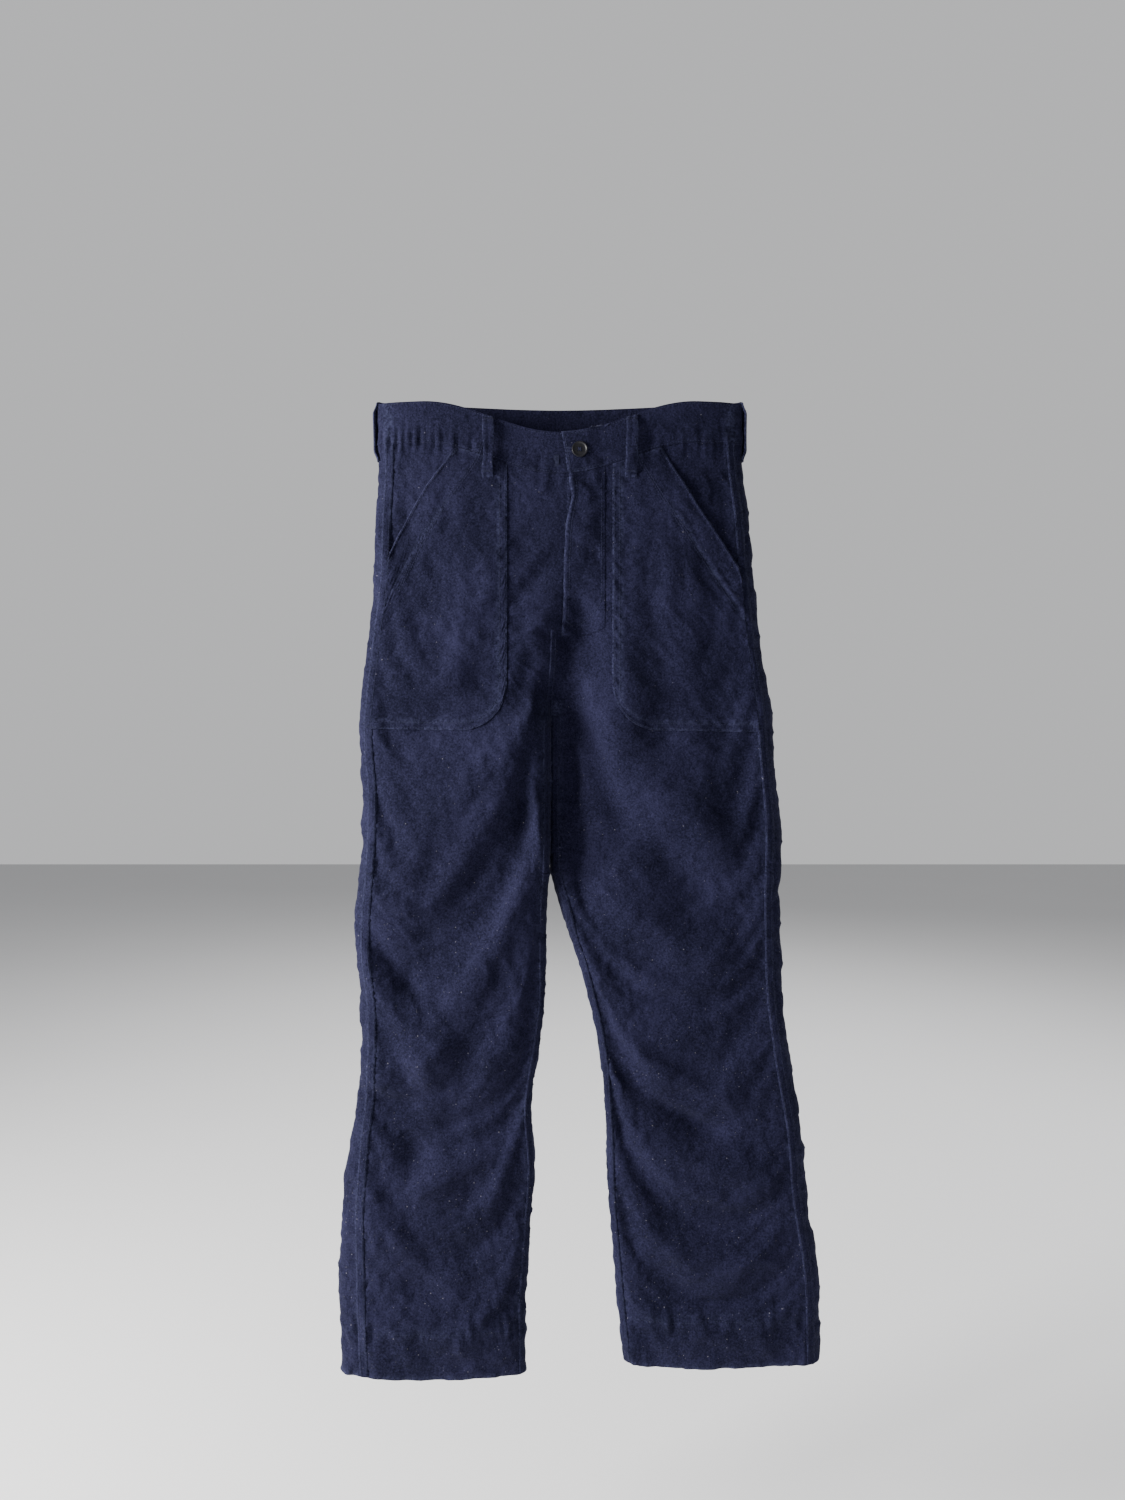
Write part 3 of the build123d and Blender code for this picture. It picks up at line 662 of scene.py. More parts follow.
@dataclass
class Shell:
    """The trousers' whole outer cloth as one mesh, from which the panels are cut.

    Attributes:
        rows: Rows of faces from the waist to the longer leg's hem.
        columns: Columns of faces over each half of each face.
        cap: The furthest that the cloth may move as it relaxes.
    """

    form: HungForm
    rows: int = 220
    columns: int = 46
    cap: float = 0.010
    obj: Piece | None = None

    def drops(self, side: Side) -> Array:
        """The heights of the rows. The waistband and the crotch fall on rows of their own.

        Args:
            side: Which half.

        Returns:
            One drop for each row of points.
        """
        marks = [0.0, self.form.band, self.form.rise, self.form.crotch, MID_THIGH, self.form.hem[side]]
        pitch = self.form.hem[Side.RIGHT] / self.rows
        stretches = []
        for top, bottom in zip(marks, marks[1:]):
            count = max(2, round((bottom - top) / pitch))
            stretches.append(np.linspace(top, bottom, count, endpoint=False))
        return np.append(np.concatenate(stretches), marks[-1])

    def build(self) -> None:
        """Make the shell's mesh from the hung form."""
        points, faces, owner, arc, drop_of = [], [], [], [], []
        start = 0
        for side in Side:
            drops = self.drops(side)
            for face in Face:
                share = np.linspace(0, 1, self.columns + 1)
                u, d = np.meshgrid(share, drops)
                grid = self.form.point(side, face, u, d)
                flat = self.form.section(side, face, u, d)
                step = np.linalg.norm(np.diff(flat, axis=1, prepend=flat[:, :1]), axis=2)
                along = np.cumsum(step, axis=1)
                quads = grid_faces(*u.shape) + start
                if (side.value * face.value) > 0:
                    quads = quads[:, ::-1]
                points.append(grid.reshape(-1, 3))
                faces.append(quads)
                middle = (drops[:-1] + drops[1:]) / 2
                part = np.where(middle < self.form.band, 0, np.where(middle < MID_THIGH, 1, 2))
                owner.append(np.repeat(panel_number(part, side, face), self.columns))
                arc.append(np.stack([side.value * (0.5 - along), -d], axis=-1).reshape(-1, 2))
                drop_of.append(d.ravel())
                start += u.size
        self.obj = make_object("shell", np.concatenate(points), np.concatenate(faces).tolist())
        mesh = self.obj.data
        codes = mesh.attributes.new("owner", "INT", "FACE")
        codes.data.foreach_set("value", np.concatenate(owner).astype(np.int32))
        set_uv(mesh, np.concatenate(arc))
        set_values(mesh, "drop", np.concatenate(drop_of))
        point_outwards(self.obj, merge=0.00004)

    def mark_hold(self, before: Array) -> None:
        """Mark how firmly the waistband, seams and edges are held, and where cloth is spare.

        Args:
            before: The points before the cloth relaxes.
        """
        drop = get_values(self.obj.data, "drop")
        hold = self.obj.vertex_groups.new(name="hold")
        full = self.obj.vertex_groups.new(name="full")
        seam_room = self.seam_distance(before)
        pin = np.where(drop < self.form.band + 0.002, 1.0, 0.0)
        pin = np.maximum(pin, 0.35 * (1 - ease(seam_room / 0.012)))
        inner = np.abs(before[:, 0] - self.form.middle(drop)) < 0.02
        pin = np.maximum(pin, np.where(inner & (drop > 0.25) & (drop < 0.56), 0.9, 0.0))
        right, left = (smooth_line(self.form.outer[side], drop) for side in Side)
        outer = np.where(before[:, 0] < self.form.middle(drop), right, left)
        pin = np.maximum(pin, 0.8 * (1 - ease((outer - np.abs(before[:, 0])) / 0.022)))
        spare = ease((drop - 0.06) / 0.05) * ease(seam_room / 0.03)
        for index in range(len(before)):
            if pin[index] > 0.01:
                hold.add([index], float(pin[index]), "REPLACE")
            full.add([index], float(spare[index]), "REPLACE")

    def relax(self, frames: int = 26) -> None:
        """Let the cloth hang and settle into its own small folds, and keep the result.

        Args:
            frames: How many steps it gets.
        """
        mesh = self.obj.data
        before = positions(mesh)
        self.mark_hold(before)
        take(self.obj)
        cloth = self.obj.modifiers.new("hang", "CLOTH")
        canvas = {"quality": 5, "mass": 0.35, "tension_stiffness": 25, "compression_stiffness": 25,
                  "shear_stiffness": 12, "bending_stiffness": 0.9, "air_damping": 2.0,
                  "tension_damping": 12, "compression_damping": 12, "vertex_group_mass": "hold",
                  "pin_stiffness": 1.0, "vertex_group_shrink": "full", "shrink_min": 0.0,
                  "shrink_max": -0.036}
        for name, value in canvas.items():
            setattr(cloth.settings, name, value)
        cloth.settings.effector_weights.gravity = 0.5
        cloth.collision_settings.use_collision = False
        cloth.point_cache.frame_start = 1
        cloth.point_cache.frame_end = frames
        for step in range(1, frames + 1):
            bpy.context.scene.frame_set(step)
        graph = bpy.context.evaluated_depsgraph_get()
        after = positions(self.obj.evaluated_get(graph).data).copy()
        self.obj.modifiers.remove(cloth)
        bpy.context.scene.frame_set(1)
        move = after - before
        size = np.linalg.norm(move, axis=1, keepdims=True)
        move *= np.minimum(1, self.cap / np.maximum(size, 1e-9))
        mesh.vertices.foreach_set("co", (before + move).ravel())
        mesh.update()

    def seam_distance(self, points: Array) -> Array:
        """How far each point lies from the nearest long seam or hem.

        Args:
            points: Rows of x, y, z.

        Returns:
            One distance for each point.
        """
        drop = -points[:, 2]
        nearest = np.full(len(points), 1.0)
        for side in Side:
            nearest = np.minimum(nearest, np.abs(points[:, 0] - self.form.side_seam(side, drop)))
            inner = np.abs(points[:, 0] - self.form.inseam(side, drop)) + 0.05 * (drop < self.form.crotch)
            nearest = np.minimum(nearest, inner)
        return np.minimum(nearest, np.abs(self.form.hem_at(points[:, 0]) - HEM_DEPTH - drop))

    def refine(self) -> None:
        """Halve the mesh's pitch, so that it holds the seams' puckers."""
        take(self.obj)
        smooth = self.obj.modifiers.new("smooth", "SUBSURF")
        smooth.levels = 1
        smooth.render_levels = 1
        bpy.ops.object.modifier_apply(modifier="smooth")

    def pucker(self) -> None:
        """Draw the cloth up along its seams, as washing does."""
        mesh = self.obj.data
        points = positions(mesh)
        normals = point_normals(mesh)
        drop = -points[:, 2]
        x = points[:, 0]
        lift = np.zeros(len(points))
        facing = 0.30 + 0.70 * ease((np.abs(normals[:, 1]) - 0.10) / 0.55)
        for side in Side:
            mine = x * side.value > -0.013
            for index, line in enumerate((self.form.side_seam, self.form.inseam)):
                away = np.abs(x - line(side, drop))
                wave = ripple(x * 0.35, drop, 0.010, 61 + 7 * index + side.value)
                slow = 0.6 + 0.4 * ripple(x * 0.1, drop, 0.05, 90 + index)
                reach = ease((drop - 0.34) / 0.03) if index else 1.0
                height = 0.0013 * facing * reach * wave * slow
                lift += np.where(mine, height * hump(away, 0.011), 0)
        over_hem = drop - (self.form.hem_at(x) - HEM_DEPTH)
        wave = ripple(x, drop * 0.25, 0.009, 77)
        lift += 0.0013 * wave * hump(over_hem, 0.016) * np.where(over_hem > 0, 1.0, 0.8)
        lift += 0.0006 * ripple(x, drop * 0.3, 0.012, 78) * ease(over_hem / 0.02)
        away = drop - (self.form.band + np.where(normals[:, 1] < 0, self.form.sag_at(x), 0.0))
        lift += 0.0017 * ripple(x, drop * 0.3, 0.011, 79) * hump(away, 0.015)
        lift += 0.0005 * ripple(x, drop, 0.016, 80) * ease((0.05 - np.abs(away)) / 0.03)
        free = ease((drop - 0.06) / 0.04)
        grain = 0.5 + 0.5 * ripple(x, drop, 0.09, 83)
        lift += 0.0020 * (creases(x, drop, 0.040, 84) - 0.25) * grain * free
        lift -= 0.0016 * (creases(x + 0.02, drop * 0.8, 0.030, 85) - 0.25) * (1 - grain) * free
        lift += 0.00035 * ripple(x, drop, 0.013, 86) * free
        mesh.vertices.foreach_set("co", (points + normals * lift[:, None]).ravel())
        mesh.update()

    def cut(self, owner: int, below: float = 0.0) -> ClothMesh:
        """Copy one panel's cloth out of the shell, with the whole shell's normals.

        Args:
            owner: The panel's number.
            below: Leave out the faces that reach above this drop.

        Returns:
            The open sheet.
        """
        mesh = self.obj.data
        codes = np.empty(len(mesh.polygons), np.int32)
        mesh.attributes["owner"].data.foreach_get("value", codes)
        quads = corner_points(mesh).reshape(-1, 4)
        mine = codes == owner
        if below > 0:
            mine &= get_values(mesh, "drop")[quads].min(axis=1) > below
        used, first, faces = np.unique(quads[mine], return_index=True, return_inverse=True)
        points = positions(mesh)[used]
        normals = point_normals(mesh)[used]
        drop = get_values(mesh, "drop")[used]
        cloth = read_rows(mesh.uv_layers["cloth"].data, "uv", 2)
        uv = cloth.reshape(-1, 4, 2)[mine].reshape(-1, 2)[first]
        # Paler near seams and the hem: fading from washing, and a painted highlight along folded edges.
        from_hem = self.form.hem_at(points[:, 0]) - drop
        wear = np.where(from_hem < 0.056, 0.30, 0.9) * hump(self.seam_distance(points), 0.006)
        wear = np.maximum(wear, hump(from_hem, 0.004))
        return ClothMesh(points, normals, faces.reshape(-1, 4), uv, wear)


@dataclass
class Drape:
    """Lays thin pieces on the front or the back of the finished shell."""

    shell: Shell
    trees: dict[Face, BVHTree] = field(default_factory=dict)

    def __post_init__(self) -> None:
        """Split the shell into what faces forward and what faces back."""
        mesh = self.shell.obj.data
        points = [v.co.copy() for v in mesh.vertices]
        for face in Face:
            polygons = [tuple(p.vertices) for p in mesh.polygons if p.normal.y * face.value > -0.02]
            self.trees[face] = BVHTree.FromPolygons(points, polygons)

    def find(self, x: float, drop: float, face: Face, leg: float = 0.0) -> tuple[Vector, Vector]:
        """The cloth's point and outward normal straight behind a place seen from the front or back.

        Args:
            x: The place across.
            drop: Its drop.
            face: Front or back.
            leg: The middle of the leg it lies on, or 0 for the nearer leg.

        Returns:
            The point and its normal.
        """
        inward = math.copysign(1.0, (leg or math.copysign(LEG_MIDDLE, x)) - x)
        look = Vector((0, -face.value, 0))
        for step in range(9):
            origin = Vector((x + inward * step * 0.0012, face.value * RAY_START, -drop))
            spot, normal, _, _ = self.trees[face].ray_cast(origin, look, RAY_REACH)
            if spot is not None and normal.y * face.value > 0.30:
                return spot, normal
        if spot is None:
            spot, normal, _, _ = self.trees[face].find_nearest(Vector((x, face.value * 0.02, -drop)))
        if normal.y * face.value < 0:
            normal = -normal
        return spot, normal

    def lay(self, x: Array, drop: Array, face: Face, leg: float = 0.0) -> tuple[Array, Array]:
        """Points and normals of the cloth behind many places.

        Args:
            x: The places across.
            drop: Their drops.
            face: Front or back.
            leg: The middle of the leg they lie on, or 0 for the nearer leg.

        Returns:
            The points and their normals.
        """
        found = [self.find(float(a), float(b), face, leg) for a, b in zip(x.ravel(), drop.ravel())]
        spots, normals = (np.array([f[i] for f in found]).reshape(*x.shape, 3) for i in (0, 1))
        return spots, normals


def soften(values: Array, passes: int) -> Array:
    """Average a grid of vectors with its neighbours.

    Args:
        values: The vectors, rows by columns by three.
        passes: How often.

    Returns:
        The softened grid.
    """
    for _ in range(passes):
        padded = np.pad(values, ((1, 1), (1, 1), (0, 0)), mode="edge")
        values = (padded[1:-1, 1:-1] * 2 + padded[:-2, 1:-1] + padded[2:, 1:-1]
                  + padded[1:-1, :-2] + padded[1:-1, 2:]) / 6
    return values


# ---------------------------------------------------------------- finishes


@dataclass
class NodeBench:
    """A node tree and short ways to add to it."""

    tree: NodeTree

    def add(self, kind: str, values: dict[str, object] | None = None, **settings: object) -> bpy.types.Node:
        """Add a node.

        Args:
            kind: The node's type.
            values: What its inputs are set or linked to, by name or by number.
            settings: The node's own settings.

        Returns:
            The new node.
        """
        node = self.tree.nodes.new(kind)
        for name, value in settings.items():
            setattr(node, name, value)
        for name, value in (values or {}).items():
            self.feed(node.inputs[int(name)] if name.isdigit() else node.inputs[name], value)
        return node

    def feed(self, socket: Socket, value: object) -> None:
        """Link a result to a socket, or set the socket to a plain value.

        Args:
            socket: The input.
            value: Another node's output, or a number or colour.
        """
        if isinstance(value, Socket):
            self.tree.links.new(value, socket)
        else:
            socket.default_value = value

    def effect(self, tree: NodeTree, **amounts: float) -> bpy.types.Node:
        """Place one of the shared effects.

        Args:
            tree: The effect's node group.
            amounts: What its inputs are set to, by name.

        Returns:
            The new node.
        """
        return self.add("ShaderNodeGroup", amounts, node_tree=tree)

    def place(self) -> Socket:
        """Add the piece's own coordinates and give back the socket."""
        return self.add("ShaderNodeTexCoord").outputs["Object"]

    def math(self, operation: str, a: object, b: object = 0.0, c: object = 0.0) -> Socket:
        """Add a Math node and give back its result."""
        return self.add("ShaderNodeMath", {"0": a, "1": b, "2": c}, operation=operation).outputs[0]

    def remap(self, value: object, low: float, high: float, to_low: float = 0.0,
              to_high: float = 1.0) -> Socket:
        """Stretch a value from one range to another and give back the result, held to the range."""
        ends = {"Value": value, "From Min": low, "From Max": high, "To Min": to_low, "To Max": to_high}
        return self.add("ShaderNodeMapRange", ends).outputs["Result"]

    def noise(self, vector: object, scale: float, detail: float = 2.0, rough: float = 0.5) -> Socket:
        """Add a noise pattern and give back its height."""
        values = {"Vector": vector, "Scale": scale, "Detail": detail, "Roughness": rough}
        return self.add("ShaderNodeTexNoise", values).outputs["Fac"]

    def bump(self, height: Socket, strength: float, distance: float, **under: Socket) -> Socket:
        """Add a Bump node and give back its normal.

        Args:
            height: The relief.
            strength: How strongly it shows.
            distance: How high it is, in metres.
            under: Another bump's normal, as Normal, that it lies on.

        Returns:
            The bumped normal.
        """
        values = {"Height": height, "Strength": strength, "Distance": distance, **under}
        return self.add("ShaderNodeBump", values).outputs[0]

    def blend(self, amount: object, a: object, b: object) -> Socket:
        """Mix two colours and give back the result."""
        return self.add("ShaderNodeMix", {"0": amount, "6": a, "7": b}, data_type="RGBA").outputs[2]


def new_material(name: str, **plain: object) -> tuple[Material, NodeBench, bpy.types.Node]:
    """Start a material.

    Args:
        name: Its name.
        plain: What the shader's plain sockets are set to, with _ for each space.

    Returns:
        The material, its bench and its shader.
    """
    material = bpy.data.materials.new(name)
    material.use_nodes = True
    shader = material.node_tree.nodes["Principled BSDF"]
    for label, value in plain.items():
        shader.inputs[label.replace("_", " ")].default_value = value
    return material, NodeBench(material.node_tree), shader


def new_group(name: str, inputs: list[tuple[str, str, object]], outputs: list[tuple[str, str]]
              ) -> tuple[NodeBench, bpy.types.Node, bpy.types.Node]:
    """Start a node group with named inputs and outputs.

    Args:
        name: The group's name.
        inputs: (name, socket type, starting value) for each input.
        outputs: (name, socket type) for each output.

    Returns:
        The group's bench, its input node and its output node.
    """
    tree = bpy.data.node_groups.new(name, "ShaderNodeTree")
    for label, kind, value in inputs:
        socket = tree.interface.new_socket(label, in_out="INPUT", socket_type=kind)
        if value is not None:
            socket.default_value = value
    for label, kind in outputs:
        tree.interface.new_socket(label, in_out="OUTPUT", socket_type=kind)
    bench = NodeBench(tree)
    return bench, bench.add("NodeGroupInput"), bench.add("NodeGroupOutput")


FLOAT = "NodeSocketFloat"


@dataclass(frozen=True)
class ClothEffects:
    """The shared node groups: weave, heather, seam fading with a painted highlight, and lint."""

    weave: NodeTree
    heather: NodeTree
    wear: NodeTree
    lint: NodeTree

    @classmethod
    def build(cls) -> "ClothEffects":
        """Make the four groups."""
        return cls(cls.make_weave(), cls.make_heather(), cls.make_wear(), cls.make_lint())

    @staticmethod
    def make_weave() -> NodeTree:
        """Over-and-under threads with slubs, following the cloth's own metres.

        Returns:
            The group.
        """
        bench, given, result = new_group("WovenCloth", [("Pitch", FLOAT, 0.0006), ("Slub", FLOAT, 0.4)],
                                         [("Height", FLOAT), ("Thread", FLOAT)])
        place = bench.add("ShaderNodeUVMap", uv_map="cloth").outputs[0]
        split = bench.add("ShaderNodeSeparateXYZ", {"0": place})
        turn = bench.math("DIVIDE", 2 * math.pi, given.outputs["Pitch"])
        across = bench.math("MULTIPLY", split.outputs[0], turn)
        along = bench.math("MULTIPLY", split.outputs[1], turn)
        rib = bench.math("SINE", bench.math("ADD", across, along))
        over = bench.math("SINE", bench.math("SUBTRACT", across, along))
        thread = bench.math("MULTIPLY_ADD", over, 0.25, bench.math("MULTIPLY_ADD", rib, 0.25, 0.5))
        warp, weft = (bench.add("ShaderNodeMapping", {"Vector": place, "Scale": scale}).outputs[0]
                      for scale in ((2600.0, 70.0, 1.0), (60.0, 2400.0, 1.0)))
        slub = bench.math("ADD", bench.noise(warp, 1.0), bench.noise(weft, 1.0))
        slub = bench.math("MULTIPLY", bench.math("SUBTRACT", slub, 1.0), given.outputs["Slub"])
        bench.feed(result.inputs["Height"], bench.math("ADD", thread, slub))
        bench.feed(result.inputs["Thread"], bench.math("ADD", bench.math("MULTIPLY", thread, 0.5), slub))
        return bench.tree

    @staticmethod
    def make_heather() -> NodeTree:
        """Washed unevenness of colour, from fine flecks to broad clouds.

        Returns:
            The group.
        """
        bench, given, result = new_group("WashedHeather", [("Fleck", FLOAT, 1.15), ("Cloud", FLOAT, 0.6)],
                                         [("Mask", FLOAT)])
        place = bench.place()
        sizes = ((1500.0, 2.0, 0.6), (480.0, 3.0, 0.6), (14.0, 3.0, 0.5))
        fleck, mottle, cloud = (bench.math("SUBTRACT", bench.noise(place, *size), 0.5) for size in sizes)
        small = bench.math("MULTIPLY", bench.math("ADD", fleck, mottle), given.outputs["Fleck"])
        total = bench.math("MULTIPLY_ADD", cloud, given.outputs["Cloud"], bench.math("ADD", small, 0.5))
        bench.feed(result.inputs["Mask"], total)
        return bench.tree

    @staticmethod
    def make_wear() -> NodeTree:
        """Paler cloth beside seams and on edges: fading where washing rubs, and a painted highlight where
        folded edges catch the light.

        Returns:
            The group.
        """
        bench, given, result = new_group("SeamWear", [("Amount", FLOAT, 0.5)], [("Mask", FLOAT)])
        near = bench.add("ShaderNodeAttribute", attribute_name="wear").outputs["Fac"]
        broken = bench.remap(bench.noise(bench.place(), 330.0, 3.0, 0.65), 0.42, 0.66)
        mask = bench.math("MULTIPLY", bench.math("MULTIPLY", near, broken), given.outputs["Amount"])
        bench.feed(result.inputs["Mask"], mask)
        return bench.tree

    @staticmethod
    def make_lint() -> NodeTree:
        """Small pale specks of lint, thicker towards the hems.

        Returns:
            The group.
        """
        bench, given, result = new_group("Lint", [("Amount", FLOAT, 0.5)], [("Mask", FLOAT)])
        place = bench.place()
        height = bench.add("ShaderNodeSeparateXYZ", {"0": place}).outputs[2]
        low = bench.remap(height, -0.35, -0.75, 0.18, 1.0)
        total = None
        for scale, size in ((150.0, 0.11), (310.0, 0.13)):
            cells = bench.add("ShaderNodeTexVoronoi", {"Vector": place, "Scale": scale, "Randomness": 1.0})
            dot = bench.remap(cells.outputs["Distance"], size, size * 0.5)
            chance = bench.add("ShaderNodeSeparateColor", {"0": cells.outputs["Color"]}).outputs[0]
            shown = bench.math("GREATER_THAN", bench.math("MULTIPLY", low, 0.16), chance)
            speck = bench.math("MULTIPLY", dot, shown)
            total = speck if total is None else bench.math("MAXIMUM", total, speck)
        bench.feed(result.inputs["Mask"], bench.math("MULTIPLY", total, given.outputs["Amount"]))
        return bench.tree


@dataclass(frozen=True)
class CanvasFinish:
    """Washed cotton canvas.

    Attributes:
        name: The material's name.
        base: Its usual colour.
        deep: Its colour where the dye is darkest.
        faded: Its paler colour where washing has worn it, also used as a painted highlight along seams and
            folded edges.
        pitch: One over-and-under of its weave, in metres.
        wear: How strongly seams and edges turn paler, from fading and as a painted highlight.
        lint: How much lint it holds.
        speck: The lint's colour.
        sheen: How much soft light its fuzz catches.
    """

    name: str
    base: Colour = (0.0168, 0.0165, 0.0450, 1.0)
    deep: Colour = (0.0028, 0.0032, 0.0115, 1.0)
    faded: Colour = (0.036, 0.039, 0.081, 1.0)
    pitch: float = 0.0009
    wear: float = 0.75
    lint: float = 0.40
    speck: Colour = (0.30, 0.29, 0.33, 1.0)
    sheen: float = 0.05

    def build(self, effects: ClothEffects) -> Material:
        """Make the material.

        Args:
            effects: The shared effects.

        Returns:
            The material.
        """
        material, bench, shader = new_material(
            self.name, Specular_IOR_Level=0.08, Sheen_Weight=self.sheen, Sheen_Roughness=0.45,
            Sheen_Tint=(0.60, 0.62, 0.95, 1.0))
        weave = bench.effect(effects.weave, Pitch=self.pitch)
        heather = bench.effect(effects.heather).outputs["Mask"]
        wear = bench.effect(effects.wear, Amount=self.wear).outputs["Mask"]
        lint = bench.effect(effects.lint, Amount=self.lint).outputs["Mask"]
        tone = bench.math("MULTIPLY_ADD", weave.outputs["Thread"], 0.45, heather)
        dyed = bench.blend(bench.remap(tone, 0.38, 0.92), self.deep, self.base)
        # Seams and edges blend towards the paler colour: fading from washing, and a painted highlight along
        # folded edges.
        faded_and_lit = bench.blend(wear, dyed, self.faded)
        bench.feed(shader.inputs["Base Color"], bench.blend(lint, faded_and_lit, self.speck))
        bench.feed(shader.inputs["Roughness"], bench.remap(heather, 0.2, 0.8, 0.95, 0.82))
        fine = bench.bump(weave.outputs["Height"], 0.35, 0.00025)
        place = bench.place()
        fuzz = bench.noise(place, 150.0, 3.0, 0.6)
        crumple = bench.math("MULTIPLY_ADD", bench.noise(place, 46.0), 1.6, fuzz)
        bench.feed(shader.inputs["Normal"], bench.bump(crumple, 0.75, 0.0012, Normal=fine))
        return material


@dataclass(frozen=True)
class ThreadFinish:
    """Sewing thread, spun from two plies."""

    name: str = "thread"
    light: Colour = (0.026, 0.028, 0.062, 1.0)
    dark: Colour = (0.008, 0.0088, 0.023, 1.0)

    def build(self) -> Material:
        """Make the material.

        Returns:
            The material.
        """
        material, bench, shader = new_material(self.name, Specular_IOR_Level=0.12)
        place = bench.place()
        ply = bench.add("ShaderNodeTexWave", {"Vector": place, "Scale": 900.0, "Distortion": 2.0},
                        wave_type="BANDS", bands_direction="DIAGONAL").outputs["Fac"]
        bench.feed(shader.inputs["Base Color"], bench.blend(bench.noise(place, 400.0), self.dark, self.light))
        bench.feed(shader.inputs["Normal"], bench.bump(ply, 0.5, 0.0001))
        bench.feed(shader.inputs["Roughness"], bench.remap(ply, 0, 1, 0.85, 0.65))
        return material


@dataclass(frozen=True)
class ButtonFinish:
    """Dark moulded resin with a faint cloud and a soft gloss."""

    name: str = "button_resin"
    base: Colour = (0.0035, 0.0035, 0.0055, 1.0)
    cloud: Colour = (0.0085, 0.0083, 0.0115, 1.0)
    rubbed: Colour = (0.022, 0.0215, 0.026, 1.0)

    def build(self, effects: ClothEffects) -> Material:
        """Make the material.

        Args:
            effects: The shared effects.

        Returns:
            The material.
        """
        material, bench, shader = new_material(self.name, Specular_IOR_Level=0.35)
        place = bench.place()
        swirl = bench.remap(bench.noise(place, 160.0, 3.0, 0.6), 0.40, 0.68)
        scratch = bench.noise(place, 1400.0, 3.0, 0.7)
        wear = bench.effect(effects.wear, Amount=0.5).outputs["Mask"]
        colour = bench.blend(wear, bench.blend(swirl, self.base, self.cloud), self.rubbed)
        bench.feed(shader.inputs["Base Color"], colour)
        bench.feed(shader.inputs["Roughness"], bench.remap(scratch, 0.3, 0.7, 0.34, 0.52))
        bench.feed(shader.inputs["Normal"], bench.bump(scratch, 0.15, 0.00008))
        return material


@dataclass
class Wardrobe:
    """All finishes, built once, and how a piece is dressed in one."""

    canvas: Material
    lining: Material
    thread: Material
    resin: Material

    @classmethod
    def build(cls) -> "Wardrobe":
        """Make every finish.

        Returns:
            The finishes.
        """
        effects = ClothEffects.build()
        inside = CanvasFinish("inside_canvas", base=(0.0110, 0.0122, 0.0310, 1.0), wear=0.25, lint=0.3)
        return cls(CanvasFinish("washed_canvas").build(effects), inside.build(effects),
                   ThreadFinish().build(), ButtonFinish().build(effects))

    def dress(self, obj: Piece, material: Material, slot: str) -> None:
        """Give a piece its finish.

        Args:
            obj: The piece.
            material: Its finish.
            slot: Not used.
        """
        obj.data.materials.clear()
        obj.data.materials.append(material)


# ---------------------------------------------------------------- studio


@dataclass
class Studio:
    """A pale floor, soft light and the camera.

    Attributes:
        floor: Height of the floor.
        lens: The camera's focal length, in millimetres.
        eye: Where the camera stands.
        pale: The floor's usual colour.
        air: Strength of the soft light from all sides.
        backdrop: Strength of the background behind the floor.
    """

    floor: float = -1.32
    lens: float = 27.05
    eye: tuple[float, float, float] = (0.003, -1.240, -0.383)
    pale: Colour = (0.86, 0.86, 0.87, 1.0)
    air: float = 0.40
    backdrop: float = 0.66

    def build(self) -> None:
        """Set up the floor, the lights and the camera."""
        self.build_floor()
        self.light("key", (-1.95, -0.74, -0.08), 0.90, 158.0, (1.0, 0.985, 0.96))
        self.light("fill", (2.8, -2.2, 0.6), 2.6, 4.0, (0.95, 0.97, 1.0))
        self.light("crown", (0.6, 2.4, 2.0), 2.4, 90.0, (1.0, 1.0, 1.0))
        self.light("side", (2.6, 0.8, 0.3), 1.6, 26.0, (0.98, 0.99, 1.0))
        self.build_air()
        lens = bpy.data.cameras.new("camera")
        lens.lens = self.lens
        lens.sensor_width = 36.0
        camera = bpy.data.objects.new("camera", lens)
        camera.location = self.eye
        camera.rotation_euler = (math.pi / 2, 0, 0)
        bpy.context.scene.collection.objects.link(camera)
        bpy.context.scene.camera = camera

    def build_air(self) -> None:
        """Fill the room with soft light, a little stronger where only the backdrop shows."""
        world = bpy.data.worlds.new("studio_air")
        world.use_nodes = True
        bench = NodeBench(world.node_tree)
        background = world.node_tree.nodes["Background"]
        background.inputs["Color"].default_value = (0.90, 0.905, 0.92, 1.0)
        seen = bench.add("ShaderNodeLightPath").outputs["Is Camera Ray"]
        strength = bench.math("MULTIPLY_ADD", seen, self.backdrop - self.air, self.air)
        bench.feed(background.inputs["Strength"], strength)
        bpy.context.scene.world = world

    def build_floor(self) -> None:
        """Build the floor."""
        deselect()
        bpy.ops.mesh.primitive_plane_add(size=16.0, location=(0, 0, self.floor))
        plane = bpy.context.active_object
        plane.name = "studio_floor"
        bpy.ops.object.transform_apply(location=True, rotation=False, scale=False)
        material, bench, shader = new_material("studio_paper", Roughness=0.9)
        tone = bench.blend(bench.noise(bench.place(), 1.5), self.pale, (0.83, 0.83, 0.84, 1.0))
        bench.feed(shader.inputs["Base Color"], tone)
        plane.data.materials.append(material)

    def light(self, name: str, spot: tuple[float, float, float], size: float, power: float,
              tint: tuple[float, float, float]) -> None:
        """Add a soft square light aimed at the middle of the trousers.

        Args:
            name: Its name.
            spot: Where it hangs.
            size: Its side.
            power: Its power, in watts.
            tint: Its colour.
        """
        lamp = bpy.data.lights.new(name, "AREA")
        lamp.size = size
        lamp.energy = power
        lamp.color = tint
        obj = bpy.data.objects.new(name, lamp)
        obj.location = spot
        obj.visible_camera = False
        aim = Vector((0, 0, -0.5)) - Vector(spot)
        obj.rotation_euler = aim.to_track_quat("-Z", "Y").to_euler()
        bpy.context.scene.collection.objects.link(obj)


# ---------------------------------------------------------------- the sub-assemblies


